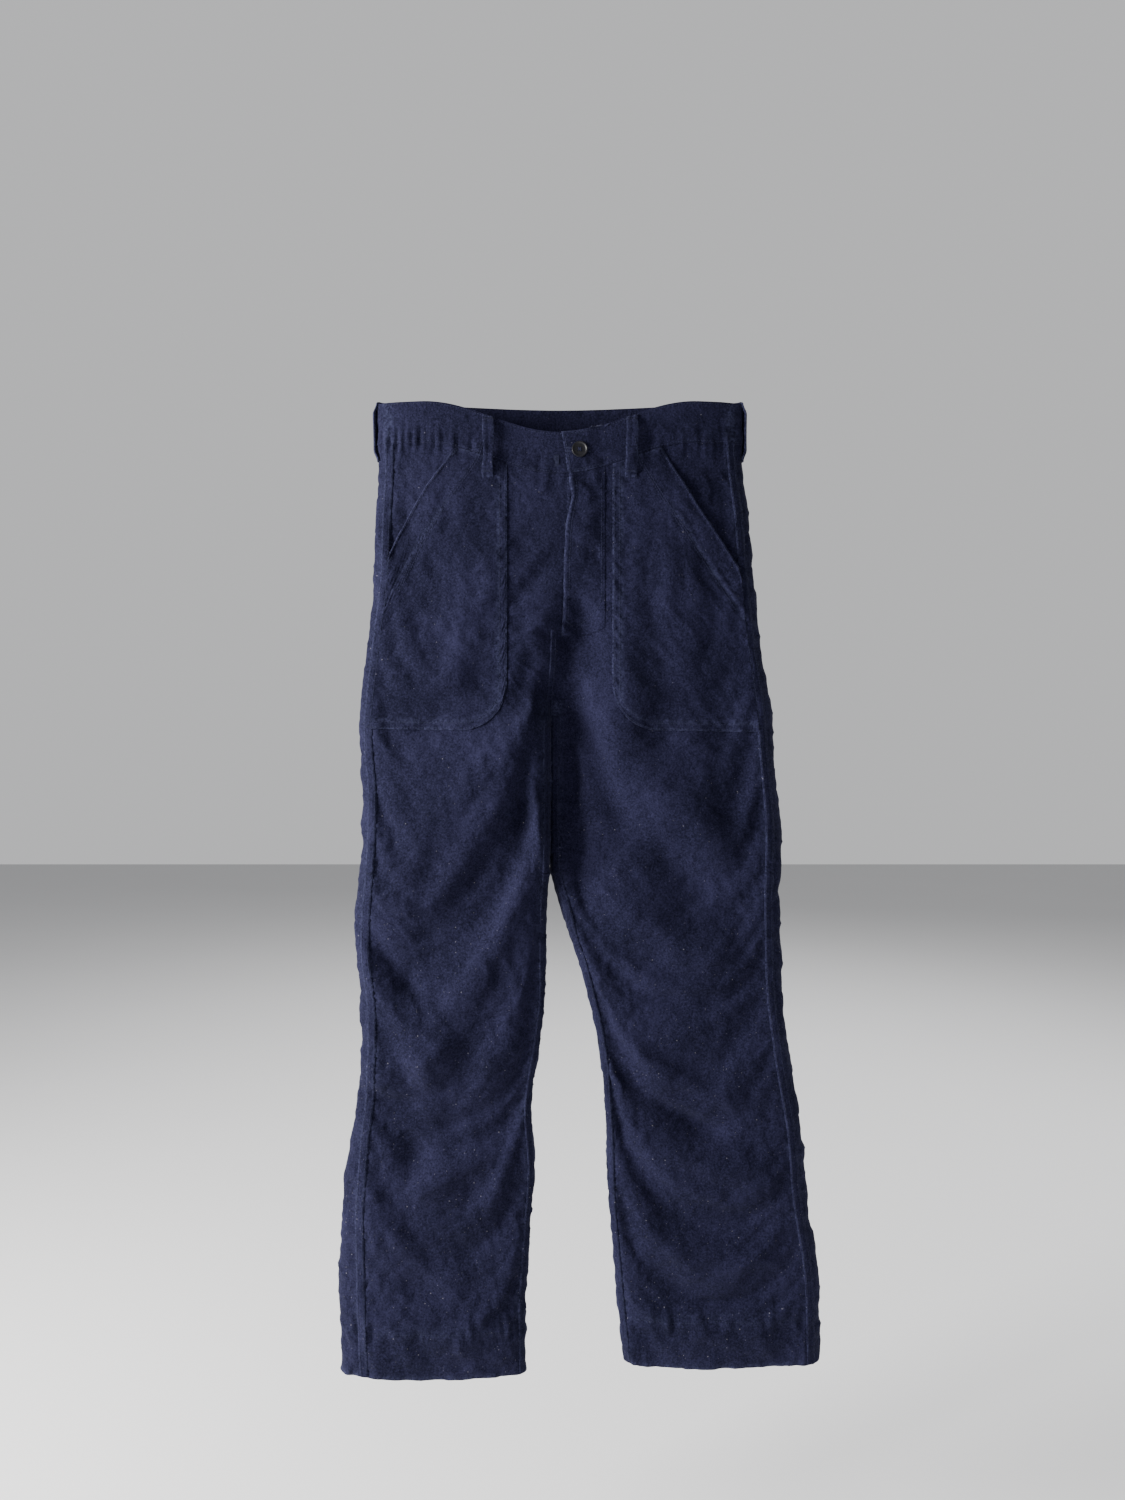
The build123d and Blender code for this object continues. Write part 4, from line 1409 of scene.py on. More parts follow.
@dataclass
class Panels:
    """The four long panels, each cut at mid thigh, and the four quarters of the waistband.

    Attributes:
        cloth: Thickness of one layer of canvas.
        band_cloth: Thickness of the folded waistband.
        band_lift: How far the waistband stands proud of the panels.
    """

    shell: Shell
    wardrobe: Wardrobe
    cloth: float = 1.2 * MM
    band_cloth: float = 2.6 * MM
    band_lift: float = 0.9 * MM
    pieces: dict[tuple[Part, Side, Face], Piece] = field(default_factory=dict)

    def build(self) -> None:
        """Cut every panel from the shell and give it its thickness."""
        for part in Part:
            for side in Side:
                for face in Face:
                    sheet = self.shell.cut(panel_number(part.value, side, face))
                    if part is Part.BAND:
                        name = f"waistband_{face.word}_{side.word}"
                        obj = sheet.thicken(name + "_cloth", self.band_lift, self.band_cloth - self.band_lift)
                        self.wardrobe.dress(obj, self.wardrobe.canvas, "waistband_canvas")
                    else:
                        name = f"{'hip' if part is Part.UPPER else 'shin'}_{face.word}_{side.word}"
                        obj = sheet.thicken(name + "_cloth", 0.0, self.cloth)
                        self.wardrobe.dress(obj, self.wardrobe.canvas, "canvas")
                    self.pieces[part, side, face] = obj

    def attach(self, joins: dict[Side, "LegJoins"]) -> None:
        """Tie the waistband's pieces to the hips, bake the leg panels' transforms, and hide the solids that
        each piece stands for.

        Args:
            joins: Each leg's joins, which bake the leg pieces' transforms.
        """
        for (part, side, face), obj in self.pieces.items():
            if part is Part.BAND:
                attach(obj, "hips")
                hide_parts(f"waistband_{face.word}_{side.word}")
            elif part is Part.UPPER:
                joins[side].follow_hip(obj)
                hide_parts(f"{face.word}_panel_{side.word}", f"thigh_{face.word}_{side.word}")
            else:
                joins[side].follow_knee(obj)
                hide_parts(f"thigh_{face.word}_{side.word}", f"shin_{face.word}_{side.word}")


@dataclass(frozen=True)
class LegJoins:
    """Marks of one leg's hip fold and knee fold; the pieces are not bent at them, their transforms are only
    baked.
    """

    side: Side
    hip_start: float = -0.372
    hip_end: float = -0.452
    knee_start: float = -0.600
    knee_end: float = -0.700

    def follow_hip(self, obj: Piece) -> None:
        """Bake a piece's transform into its mesh; it is not bent from the hips into the thigh."""
        f"thigh_{self.side.word}"
        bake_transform(obj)

    def follow_knee(self, obj: Piece) -> None:
        """Bake a piece's transform into its mesh; it is not bent from the thigh into the shin."""
        f"thigh_{self.side.word}"
        f"shin_{self.side.word}"
        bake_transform(obj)


@dataclass(frozen=True)
class Outline:
    """The edge of a patch pocket or flap, given by its top and bottom lines across.

    Attributes:
        inner: Distance of its inner edge from the middle.
        outer: Distance of its outer edge from the middle, at each drop.
        top: Knots of (distance across, drop) along its upper edge.
        bottom: Knots of (distance across, drop) along its lower edge.
    """

    inner: float
    outer: Knots
    top: Knots
    bottom: Knots

    def grid(self, side: Side, across: Array, down: Array) -> tuple[Array, Array]:
        """Places over the outline.

        Args:
            side: Which half it is sewn to.
            across: Shares from the inner edge to the outer edge.
            down: Shares from the upper edge to the lower edge.

        Returns:
            x and drop of each place, as rows by columns.
        """
        s, t = np.meshgrid(across, down)
        drop = np.full_like(s, 0.2)
        for _ in range(6):
            x = self.inner + s * (between(self.outer, drop) - self.inner)
            top = between(self.top, x)
            drop = top + t * (between(self.bottom, x) - top)
        return side.value * x, drop


def cut_outline(start: float, end: float, top: float, low: float, cut: float) -> Outline:
    """An outline with a straight top, straight sides and its lower corners cut off.

    Args:
        start: Distance of its inner edge from the middle.
        end: Distance of its outer edge from the middle.
        top: The drop of its upper edge.
        low: The drop of its lower edge.
        cut: How much of each corner is cut off.

    Returns:
        The outline.
    """
    line = [(start, low - cut), (start + cut, low), (end - cut, low), (end, low - cut)]
    return Outline(start, [(0.0, end), (0.4, end)], [(0.0, top), (0.4, top)], line)


def even(count: int, tight: float) -> Array:
    """Shares from 0 to 1 that crowd towards both ends.

    Args:
        count: How many.
        tight: 0 for an even spacing, 1 for the most crowding.

    Returns:
        The shares.
    """
    t = np.linspace(0, 1, count)
    return t + (0.5 - 0.5 * np.cos(math.pi * t) - t) * tight


@dataclass
class Tailor:
    """Cuts thin pieces to lie on the shell."""

    drape: Drape
    wardrobe: Wardrobe

    def patch(self, name: str, x: Array, drop: Array, face: Face, lift: Array, cloth: float,
              slot: str, wear: Array | None = None, passes: int = 3, leg: float = 0.0) -> Piece:
        """Lay a grid of cloth on the front or back.

        Args:
            name: Name of the piece.
            x: Places across, rows by columns.
            drop: Their drops.
            face: Which face it lies on.
            lift: Height of its outer face over the shell.
            cloth: Its thickness.
            slot: A slot name, passed on to dress.
            wear: How much paler each place is, from fading and a painted highlight.
            passes: How often the shell's normals are smoothed before lifting.
            leg: The middle of the leg it lies on, or 0 for the nearer leg.

        Returns:
            The closed piece.
        """
        spots, normals = self.drape.lay(x, drop, face, leg)
        normals = soften(normals, passes)
        normals /= np.linalg.norm(normals, axis=2, keepdims=True)
        points = soften(spots, 1) * 0.5 + spots * 0.5 + normals * lift[..., None]
        # By default the edges turn paler: fading, and a painted highlight on the folds.
        if wear is None:
            wear = np.ones_like(x)
            wear[1:-1, 1:-1] = 0
        uv = np.stack([x, -drop], axis=-1)
        sheet = grid_sheet(points, uv, wear, np.array([0.0, face.value, 0.0]))
        obj = sheet.thicken(name, 0.0, cloth)
        self.wardrobe.dress(obj, self.wardrobe.canvas, slot)
        return obj

    def strip(self, name: str, line: Array, face: Face, width: float, lift: float, slot: str,
              leg: float = 0.0) -> Piece:
        """Lay a narrow folded strip along a line, its edges turned down.

        Args:
            name: Name of the piece.
            line: Rows of (x, drop) along its middle.
            face: Which face it lies on.
            width: Its width.
            lift: Height of its middle over the shell.
            slot: A slot name, passed on to dress.
            leg: The middle of the leg it lies on, or 0 for the nearer leg.

        Returns:
            The closed strip.
        """
        run = np.gradient(line, axis=0)
        run /= np.linalg.norm(run, axis=1, keepdims=True)
        side = np.stack([run[:, 1], -run[:, 0]], axis=1)
        share = np.array([-1.0, -0.93, -0.62, -0.2, 0.2, 0.62, 0.93, 1.0])
        shape = np.array([0.15, 0.80, 0.86, 1.0, 1.0, 0.86, 0.80, 0.15])
        x = line[:, :1] + side[:, :1] * share * width / 2
        drop = line[:, 1:] + side[:, 1:] * share * width / 2
        rough = 1 + 0.16 * ripple(x * 0.4, drop, 0.007, 17)
        rise = lift * shape * rough
        # The turned edges turn paler: fading, and a painted highlight where the folds catch the light.
        wear = np.tile(np.array([0.55, 0.7, 0.35, 0.1, 0.1, 0.35, 0.7, 0.55]), (len(line), 1))
        return self.patch(name, x, drop, face, rise, lift + 0.5 * MM, slot, wear, passes=1, leg=leg)


def down_line(seam: Callable[[Side, Array], Array], side: Side, top: float, bottom: float) -> Array:
    """Rows of (x, drop) down one of the form's seams."""
    drop = np.linspace(top, bottom, max(4, round((bottom - top) / 0.0045)))
    return path(seam(side, drop), drop)


@dataclass
class Seams:
    """The felled side seams and inseams, the seat seam and the front rise.

    Attributes:
        side_width: Width of the side seams.
        inner_width: Width of the inseams.
        lift: How far the seams stand off the panels.
        upper: Each leg's seams above mid thigh.
        lower: Each leg's seams below it.
    """

    tailor: Tailor
    form: HungForm
    side_width: float = 10 * MM
    inner_width: float = 8 * MM
    lift: float = 1.3 * MM
    upper: dict[Side, list[Piece]] = field(default_factory=lambda: {s: [] for s in Side})
    lower: dict[Side, list[Piece]] = field(default_factory=lambda: {s: [] for s in Side})

    def build(self, joins: dict[Side, LegJoins]) -> None:
        """Lay each seam, split at mid thigh as the panels are.

        Args:
            joins: Each leg's joins, which bake the seams' transforms.
        """
        for side in Side:
            word = side.word
            hem = self.form.hem[side] - 0.001
            for name, line, width, start, stretches in (
                    ("side_seam", self.form.side_seam, self.side_width, self.form.band + 0.001,
                     ("hip", "thigh", "shin")),
                    ("inseam", self.form.inseam, self.inner_width, 0.345, ("thigh", "shin"))):
                solids = [f"{name}_{stretch}_{word}" for stretch in stretches]
                top, low = (
                    self.tailor.strip(f"{name}_{word}_{half}", down_line(line, side, *ends), Face.FRONT,
                                      width, self.lift, "seam_canvas", side.value * LEG_MIDDLE)
                    for half, ends in (("upper", (start, MID_THIGH)), ("lower", (MID_THIGH, hem))))
                joins[side].follow_hip(top)
                joins[side].follow_knee(low)
                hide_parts(*solids[:-1])
                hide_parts(*solids[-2:])
                self.upper[side].append(top)
                self.lower[side].append(low)
        drop = np.linspace(0.046, 0.352, 70)
        line = path(self.form.middle(drop) + 0.001, drop)
        self.seat = self.tailor.strip("seat_seam_fell", line, Face.BACK, 9 * MM, self.lift, "seam_canvas")
        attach(self.seat, "hips")
        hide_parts("seat_seam")
        drop = np.linspace(0.252, 0.356, 28)
        line = path(self.form.front_rise(drop), drop)
        self.front = self.tailor.strip("front_rise_fell", line, Face.FRONT, 7 * MM, 1.1 * MM, "seam_canvas")
        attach(self.front, "hips")


@dataclass
class Hems:
    """The turned-up hems inside each leg."""

    shell: Shell
    wardrobe: Wardrobe
    pieces: list[Piece] = field(default_factory=list)

    def build(self) -> None:
        """Cut each hem's ring from the shell and set it just inside."""
        for side in Side:
            top = self.shell.form.hem[side] - HEM_DEPTH
            cuts = [self.shell.cut(panel_number(Part.LOWER.value, side, face), top) for face in Face]
            ring = ClothMesh.together(cuts)
            # The turn-up gets a weaker share of the paler fading and painted highlight.
            ring.wear *= 0.6
            ring = ring.joined()
            obj = ring.thicken(f"hem_{side.word}_turn", -1.35 * MM, 2.5 * MM)
            self.wardrobe.dress(obj, self.wardrobe.lining, "canvas")
            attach(obj, f"shin_{side.word}")
            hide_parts(f"hem_{side.word}")
            self.pieces.append(obj)


def twin_rows(distance: Array, width: float = 0.0011) -> Array:
    """Where two rows of stitches draw the cloth in, along an edge."""
    return hump(distance - 0.002, width) + hump(distance - 0.0078, 0.0013)


@dataclass
class FrontPocket:
    """One of the two big patch pockets, with its slanted mouth and stitched facing.

    Attributes:
        cloth: Its thickness.
        lift: How far it stands off the panel.
        gape: How far its mouth opens besides.
        corner: Radius of its lower inner corner.
        inner: Its inner edge's distance from the middle.
        bottom: The drop of its lower edge.
        mouth_start: Where its slanted mouth starts, from the middle.
        facing: How far inside the mouth the facing's rows run.
    """

    tailor: Tailor
    form: HungForm
    side: Side
    cloth: float = 1.1 * MM
    lift: float = 1.5 * MM
    gape: float = 2.2 * MM
    corner: float = 0.050
    inner: float = 0.057
    bottom: float = 0.362
    mouth_start: float = 0.118
    facing: float = 0.028

    def outline(self) -> Outline:
        """The pocket's edges as hung.

        Returns:
            Its outline.
        """
        right = self.side is Side.RIGHT
        mouth = ([(0.114, 0.056), (0.146, 0.099), (0.176, 0.150), (0.190, 0.178)] if right
                 else [(0.112, 0.058), (0.151, 0.119), (0.177, 0.157), (0.203, 0.196)])
        top = [(x, self.form.band + float(self.form.sag_at(np.array(x))) + 0.0005)
               for x in np.linspace(self.inner, mouth[0][0] - 0.0004, 9)]
        round_x = np.linspace(0, self.corner, 16)
        low = [(self.inner + float(x), self.bottom - self.corner
                + math.sqrt(max(self.corner**2 - (self.corner - float(x))**2, 0))) for x in round_x]
        low += [(0.300, self.bottom - (0.004 if right else -0.003))]
        drops = np.linspace(0.05, 0.40, 15)
        reach = np.abs(self.form.side_seam(self.side, drops)) - 0.0035
        return Outline(self.inner, list(zip(drops.tolist(), reach.tolist())), top + mouth, low)

    def build(self) -> Piece:
        """Lay the pocket on the front panel.

        Returns:
            The pocket's cloth.
        """
        across = np.concatenate([[0, 0.006, 0.014, 0.030, 0.052, 0.072], np.linspace(0.095, 1, 44)])
        down = np.concatenate([[0, 0.004, 0.010, 0.02], np.linspace(0.033, 0.955, 84),
                               [0.968, 0.978, 0.986, 0.993, 1.0]])
        outline = self.outline()
        x, drop = outline.grid(self.side, across, down)
        far = np.abs(x)
        from_inner = far - self.inner
        from_low = between(outline.bottom, far) - drop
        from_mouth = drop - between(outline.top, far)
        beside_mouth = far > self.mouth_start
        slant = np.where(beside_mouth, from_mouth * 0.60, 1.0)
        near_mouth = slant < 0.06
        low_or_inner = np.minimum(from_low, from_inner)
        edge = np.minimum(np.minimum(from_inner, from_low), from_mouth)
        belly = np.sin(math.pi * np.clip(from_inner / 0.14, 0, 1))
        open_mouth = ease((0.040 - slant) / 0.040) * ease((far - self.mouth_start) / 0.02)
        lift = self.lift * (0.72 + 0.28 * ease(edge / 0.0012))
        lift += 0.0045 * belly * ease(from_low / 0.05) * ease(edge / 0.03) * 0.35
        lift += self.gape * np.where(beside_mouth, open_mouth, 0)
        lift += 0.0008 * (1 - ease(np.abs(slant - 0.0015) / 0.0030)) * (beside_mouth & (from_mouth < 0.05))
        dip = twin_rows(from_low) + twin_rows(from_inner)
        dip += hump(slant - self.facing, 0.0016) * near_mouth
        lift -= 0.00028 * dip
        puckers = ripple(x, drop, 0.0095, 41 + self.side.value)
        lift += 0.0010 * hump(low_or_inner, 0.014) * puckers * ease(edge / 0.002)
        around_facing = np.exp(-(slant - self.facing) ** 2 / 0.00015)
        lift += 0.0008 * around_facing * ripple(x, drop, 0.009, 45) * near_mouth
        lift += 0.0007 * ripple(x, drop, 0.045, 47) * ease(edge / 0.02)
        # Edges, stitch rows and the facing turn paler: fading, and a painted highlight on folded edges.
        wear = np.maximum(hump(edge, 0.0022), 0.7 * hump(low_or_inner - 0.009, 0.003))
        wear = np.maximum(wear, 0.6 * hump(slant - self.facing, 0.003) * near_mouth)
        name = f"front_pocket_{self.side.word}_patch"
        obj = self.tailor.patch(name, x, drop, Face.FRONT, np.maximum(lift, 1.15 * MM), self.cloth,
                                "pocket_canvas", wear)
        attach(obj, "hips")
        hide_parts(f"front_pocket_{self.side.word}")
        return obj

    def stitch_lines(self) -> list[Array]:
        """Where its two rows of edge stitching and its facing's rows run.

        Returns:
            Rows of (x, drop) for each line.
        """
        lines = []
        outline = self.outline()
        sign = self.side.value
        reach = float(between(outline.outer, self.bottom))
        top = self.form.band + float(self.form.sag_at(np.array(self.inner)))
        for inset in ROW_INSETS:
            radius = self.corner - inset
            angle = np.linspace(0, math.pi / 2, 24)
            bend_x = self.inner + self.corner - radius * np.cos(angle)
            bend_drop = self.bottom - self.corner + radius * np.sin(angle)
            x = np.concatenate([[self.inner + inset], bend_x, [reach - 0.002]])
            low = float(between(outline.bottom, reach - 0.002)) - inset
            drop = np.concatenate([[top + 0.004], bend_drop, [low]])
            lines.append(path(x * sign, drop))
        mouth = np.array([k for k in outline.top if k[0] > 0.111])
        run = np.gradient(mouth, axis=0)
        run /= np.linalg.norm(run, axis=1, keepdims=True)
        for inset in (0.0020, 0.0265, 0.0290):
            inside = mouth + np.stack([-run[:, 1], run[:, 0]], axis=1) * inset
            if inset > 0.01:
                start = inside[0] - run[0] * 0.012
                end = inside[-1] + run[-1] * 0.024
                inside = np.concatenate([[start], inside, [end]])
                x, reach = inside[:, 0], between(outline.outer, inside[:, 1])
                inside = inside[(x < reach - 0.001) & (x > self.inner + 0.01)]
            lines.append(inside * [sign, 1])
        return lines


@dataclass
class Fly:
    """The buttoned fly: its overlap, the waistband tab and the underlap.

    The wearer's left laps over the right. The overlap and the tab turn about the stitched
    line down the left front.

    Attributes:
        hinge: Where that line runs, across.
        low: The drop of the overlap's lower end.
        edge: Knots of the overlap's free edge, (drop, x).
        button_drops: The drops of the hidden buttons.
        button_x: Where they sit, across.
    """

    tailor: Tailor
    form: HungForm
    hinge: float = 0.0490
    low: float = 0.258
    edge: Knots = field(default_factory=lambda: [
        (0.030, 0.0015), (0.047, 0.0040), (0.064, 0.0070), (0.086, 0.0100), (0.102, 0.0125), (0.117, 0.0105),
        (0.135, 0.0070), (0.163, 0.0050), (0.218, 0.0035), (0.262, 0.0015)])
    button_drops: tuple[float, ...] = (0.104, 0.138, 0.172, 0.206)
    button_x: float = 0.022

    def seam(self, x: Array) -> Array:
        """The drop of the waistband's lower edge at a place across."""
        return self.form.band + self.form.sag_at(x)

    def build(self) -> None:
        """Lay the three pieces of the fly."""
        across = np.concatenate([[0.0, 0.012, 0.035, 0.07], np.linspace(0.11, 1, 18)])
        down = even(60, 0.35)
        s, t = np.meshgrid(across, down)
        top = self.seam(np.full_like(s, 0.02)) - 0.002
        drop = top + t * (self.low - top)
        start = smooth_line(self.edge, drop)
        end = np.full_like(s, self.hinge)
        x = start + s * (end - start)
        drop = drop + (self.seam(x) - top) * (1 - t) - 0.016 * t**6 * np.clip(s - 0.3, 0, 1) ** 2
        from_edge = x - start
        lift = 1.7 * MM + 1.2 * MM * ease(from_edge / 0.003) - 2.3 * MM * ease((s - 0.45) / 0.5)
        for button in self.button_drops:
            away = np.hypot(x - self.button_x, drop - button)
            lift += 1.7 * MM * hump(away, 0.013)
        lift += 0.9 * MM * hump(from_edge - 0.0015, 0.003) * (1 - t)
        lift -= 0.35 * MM * hump(from_edge - 0.0065, 0.0016)
        lift += 0.8 * MM * ripple(x, drop, 0.035, 51) * ease(from_edge / 0.01)
        lift *= 1 - 0.45 * ease((t - 0.86) / 0.14)
        # The free edge turns paler: fading, and a painted highlight on the fold.
        self.overlap = self.tailor.patch("fly_overlap_front", x, drop, Face.FRONT,
                                         np.maximum(lift, 0.45 * MM), 1.1 * MM, "fly_canvas",
                                         hump(from_edge, 0.0022))
        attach(self.overlap, "fly_flap")
        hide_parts("fly_overlap")
        self.build_tab()
        self.build_underlap()

    def build_tab(self) -> None:
        """Lay the end of the waistband that carries the buttonhole."""
        across = np.concatenate([[0.0, 0.02, 0.06], np.linspace(0.10, 1, 22)])
        down = even(22, 0.5)
        s, t = np.meshgrid(across, down)
        start = smooth_line(self.edge, 0.036 + t * 0.045) - 0.0006
        x = start + s * (self.hinge + 0.001 - start)
        drop = self.form.sag_at(x) - 0.0012 + t * (self.form.band + 0.0014)
        lift = 3.5 * MM - 2.4 * MM * ease((s - 0.5) / 0.5) + 0.5 * MM * ripple(x, drop, 0.03, 57) * (1 - s)
        rim = np.minimum(np.minimum(t, 1 - t) * self.form.band, x - start)
        lift -= 0.6 * MM * (1 - ease(rim / 0.0014))
        lift -= 0.3 * MM * hump(rim - 0.003, 0.0012)
        # The tab's rim turns paler: fading, and a painted highlight on the fold.
        self.tab = self.tailor.patch("waistband_tab_end", x, drop, Face.FRONT, lift, 2.2 * MM, "fly_canvas",
                                     hump(rim, 0.002))
        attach(self.tab, "fly_flap")
        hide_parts("waistband_tab")

    def build_underlap(self) -> None:
        """Lay the piece under the overlap that carries the buttons."""
        x, drop = np.meshgrid(np.linspace(0.008, 0.044, 14), np.linspace(0.088, 0.240, 40))
        lift = np.full_like(x, 0.55 * MM) + 0.1 * MM * ripple(x, drop, 0.02, 59)
        self.underlap = self.tailor.patch("fly_underlap_strip", x, drop, Face.FRONT, lift, 1.2 * MM,
                                          "fly_canvas")
        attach(self.underlap, "hips")
        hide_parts("fly_underlap")


@dataclass
class BeltLoops:
    """Seven folded loops sewn over the waistband.

    Attributes:
        width: Width of a loop.
        stand: How far its middle stands off the waistband.
        cloth: Its thickness.
        pieces: The loops.
        tacks: Where the front and back loops are tacked: x, drop and face.
    """

    tailor: Tailor
    form: HungForm
    width: float = 12.5 * MM
    stand: float = 4.6 * MM
    cloth: float = 2.0 * MM
    pieces: list[Piece] = field(default_factory=list)
    tacks: list[tuple[float, float, Face]] = field(default_factory=list)

    def build(self) -> None:
        """Lay every loop."""
        for side in Side:
            sag = float(self.form.sag_at(np.array(0.077)))
            self.loop(f"belt_loop_front_{side.word}", side.value * 0.0775, sag - 0.0005, sag + 0.068,
                      Face.FRONT)
            self.loop(f"belt_loop_back_{side.word}", side.value * 0.105, 0.001, 0.064, Face.BACK)
            self.side_loop(side)
        self.loop("belt_loop_back_centre", 0.0, 0.003, 0.066, Face.BACK)

    def shape(self, t: Array) -> Array:
        """How far a loop stands off along its length, from its upper to its lower end."""
        return ease(t / 0.20) * ease((1 - t) / 0.20)

    def weave_grid(self) -> tuple[Array, Array, Array]:
        """Places over a loop, and how much paler each is, from fading and a painted highlight.

        Returns:
            Shares across from -1 to 1, shares down from 0 to 1, and how much paler each place is.
        """
        s, t = np.meshgrid([-1.0, -0.9, -0.55, -0.15, 0.15, 0.55, 0.9, 1.0], np.linspace(0, 1, 34))
        # Edges and ends turn paler: fading, and a painted highlight on the folds.
        return s, t, np.clip(np.abs(s) ** 4 + 0.6 * (t < 0.04) + 0.6 * (t > 0.96), 0, 1)

    def loop(self, name: str, x: float, top: float, bottom: float, face: Face) -> None:
        """Lay one loop on the front or the back.

        Args:
            name: The solid it stands for.
            x: Its middle, across.
            top: The drop of its upper end.
            bottom: The drop of its lower end.
            face: Front or back.
        """
        s, t, wear = self.weave_grid()
        drop = top + t * (bottom - top)
        place = x + s * self.width / 2 + 0.0006 * np.sin(5 * t + x * 90)
        lift = 2.9 * MM + self.stand * self.shape(t) - 0.35 * MM * np.abs(s) ** 6
        lift += 0.25 * MM * hump(np.abs(s) - 0.55, 0.12) - 0.25 * MM * (np.abs(s) < 0.2)
        obj = self.tailor.patch(name + "_strap", place, drop, face, lift, self.cloth, "seam_canvas", wear,
                                passes=8)
        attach(obj, "hips")
        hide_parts(name)
        self.pieces.append(obj)
        self.tacks += [(x, top + 0.0045, face), (x, bottom - 0.0065, face)]

    def side_loop(self, side: Side) -> None:
        """Lay the loop over the side edge, where front meets back.

        Args:
            side: Which side.
        """
        s, t, wear = self.weave_grid()
        drop = 0.002 + t * 0.064
        edge = smooth_line(self.form.outer[side], drop)
        y = s * self.width / 2 + 0.001
        curve = (1 - np.clip(np.abs(y) / 0.0205, 0, 1) ** self.form.roundness) ** (1 / self.form.roundness)
        x = edge * (0.45 + 0.55 * curve) + 1.9 * MM + self.stand * 0.9 * self.shape(t)
        points = np.stack([side.value * x, y, -drop], axis=-1)
        uv = np.stack([y, -drop], axis=-1)
        sheet = grid_sheet(points, uv, wear, np.array([float(side.value), 0.0, 0.0]))
        obj = sheet.thicken(f"belt_loop_side_{side.word}_strap", 0.0, self.cloth)
        self.tailor.wardrobe.dress(obj, self.tailor.wardrobe.canvas, "seam_canvas")
        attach(obj, "hips")
        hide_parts(f"belt_loop_side_{side.word}")
        self.pieces.append(obj)


@dataclass
class BackPocket:
    """A patch pocket on the seat with its buttoned flap.

    Attributes:
        inner: Its inner edge's distance from the middle.
        width: Its width.
        top: The drop of its mouth.
        height: From its mouth to its lower edge.
        chamfer: How much of each lower corner is cut off.
        flap_rise: How far above the mouth the flap is sewn.
        flap_height: From there to the flap's lower edge.
        flap_spare: How far the flap reaches past the pocket at each end.
        flap_cut: How much of each of the flap's corners is cut off.
        lift: How far the pocket stands off the seat.
    """

    tailor: Tailor
    side: Side
    inner: float = 0.027
    width: float = 0.132
    top: float = 0.084
    height: float = 0.160
    chamfer: float = 0.022
    flap_rise: float = 0.006
    flap_height: float = 0.062
    flap_spare: float = 0.0025
    flap_cut: float = 0.014
    lift: float = 1.6 * MM

    def build(self) -> None:
        """Lay the pocket and its flap."""
        low = self.top + self.height
        outer = self.inner + self.width
        body = cut_outline(self.inner, outer, self.top, low, self.chamfer)
        across, down = even(34, 0.45), even(42, 0.45)
        x, drop = body.grid(self.side, across, down)
        far = np.abs(x)
        edge = np.minimum(np.minimum(far - self.inner, outer - far),
                          np.minimum(drop - self.top, between(body.bottom, far) - drop))
        lift = self.lift * (0.72 + 0.28 * ease(edge / 0.0012)) + 1.3 * MM * ease(edge / 0.045)
        lift -= 0.28 * MM * twin_rows(edge, 0.001)
        lift += 0.45 * MM * hump(edge, 0.012) * ripple(x, drop, 0.009, 71) * ease(edge / 0.002)
        lift += 0.5 * MM * ripple(x, drop, 0.04, 72) * ease(edge / 0.02)
        word = self.side.word
        # Its edges turn paler: fading, and a painted highlight on the folded edges.
        self.body = self.tailor.patch(f"back_pocket_{word}_patch", x, drop, Face.BACK,
                                      np.maximum(lift, 1.2 * MM), 1.1 * MM, "pocket_canvas",
                                      hump(edge, 0.0022))
        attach(self.body, "hips")
        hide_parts(f"back_pocket_{word}")
        self.build_flap(outer)

    def build_flap(self, outer: float) -> None:
        """Lay the flap, with the lower corners cut off.

        Args:
            outer: The pocket's outer edge's distance from the middle.
        """
        word = self.side.word
        start, end = self.inner - self.flap_spare, outer + self.flap_spare
        top = self.top - self.flap_rise
        flap = cut_outline(start, end, top, top + self.flap_height, self.flap_cut)
        x, drop = flap.grid(self.side, even(34, 0.45), even(24, 0.45))
        far = np.abs(x)
        edge = np.minimum(np.minimum(far - start, end - far), between(flap.bottom, far) - drop)
        lift = 4.9 * MM - 0.4 * MM * (1 - ease(edge / 0.0012)) + 0.9 * MM * ease((drop - top) / 0.05)
        lift -= 2.2 * MM * (1 - ease((drop - top) / 0.010))
        lift -= 0.3 * MM * twin_rows(edge, 0.001)
        lift += 0.5 * MM * hump(edge, 0.014) * ripple(x, drop, 0.012, 75) * ease(edge / 0.002)
        # The flap's edges turn paler: fading, and a painted highlight on the folded edges.
        self.flap = self.tailor.patch(f"back_pocket_flap_{word}_cloth", x, drop, Face.BACK, lift, 1.8 * MM,
                                      "pocket_canvas", hump(edge, 0.0022))
        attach(self.flap, f"back_flap_{word}")
        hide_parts(f"back_pocket_flap_{word}")

    def stitch_lines(self) -> tuple[list[Array], list[Array]]:
        """The rows of stitching on the pocket and on the flap.

        Returns:
            Rows of (x, drop) for each of the pocket's lines, and for each of the flap's.
        """
        sign = self.side.value
        outer = self.inner + self.width
        low = self.top + self.height
        rise = self.top - self.flap_rise

        def around(start: float, end: float, top: float, foot: float, cut: float) -> Array:
            """A line down one side, along the foot and up the other side."""
            return np.array([(start, top), (start, foot - cut), (start + cut, foot), (end - cut, foot),
                             (end, foot - cut), (end, top)]) * [sign, 1]

        body, flap = [], []
        for inset in ROW_INSETS:
            body.append(around(self.inner + inset, outer - inset, self.top + 0.052, low - inset,
                               self.chamfer - inset * 0.41))
            flap.append(around(self.inner - self.flap_spare + inset, outer + self.flap_spare - inset,
                               self.top - 0.003, rise + self.flap_height - inset,
                               self.flap_cut - inset * 0.41))
        for inset in (0.0025, 0.0080):
            flap.append(np.array([(self.inner, rise + inset), (outer, rise + inset)]) * [sign, 1])
        return body, flap


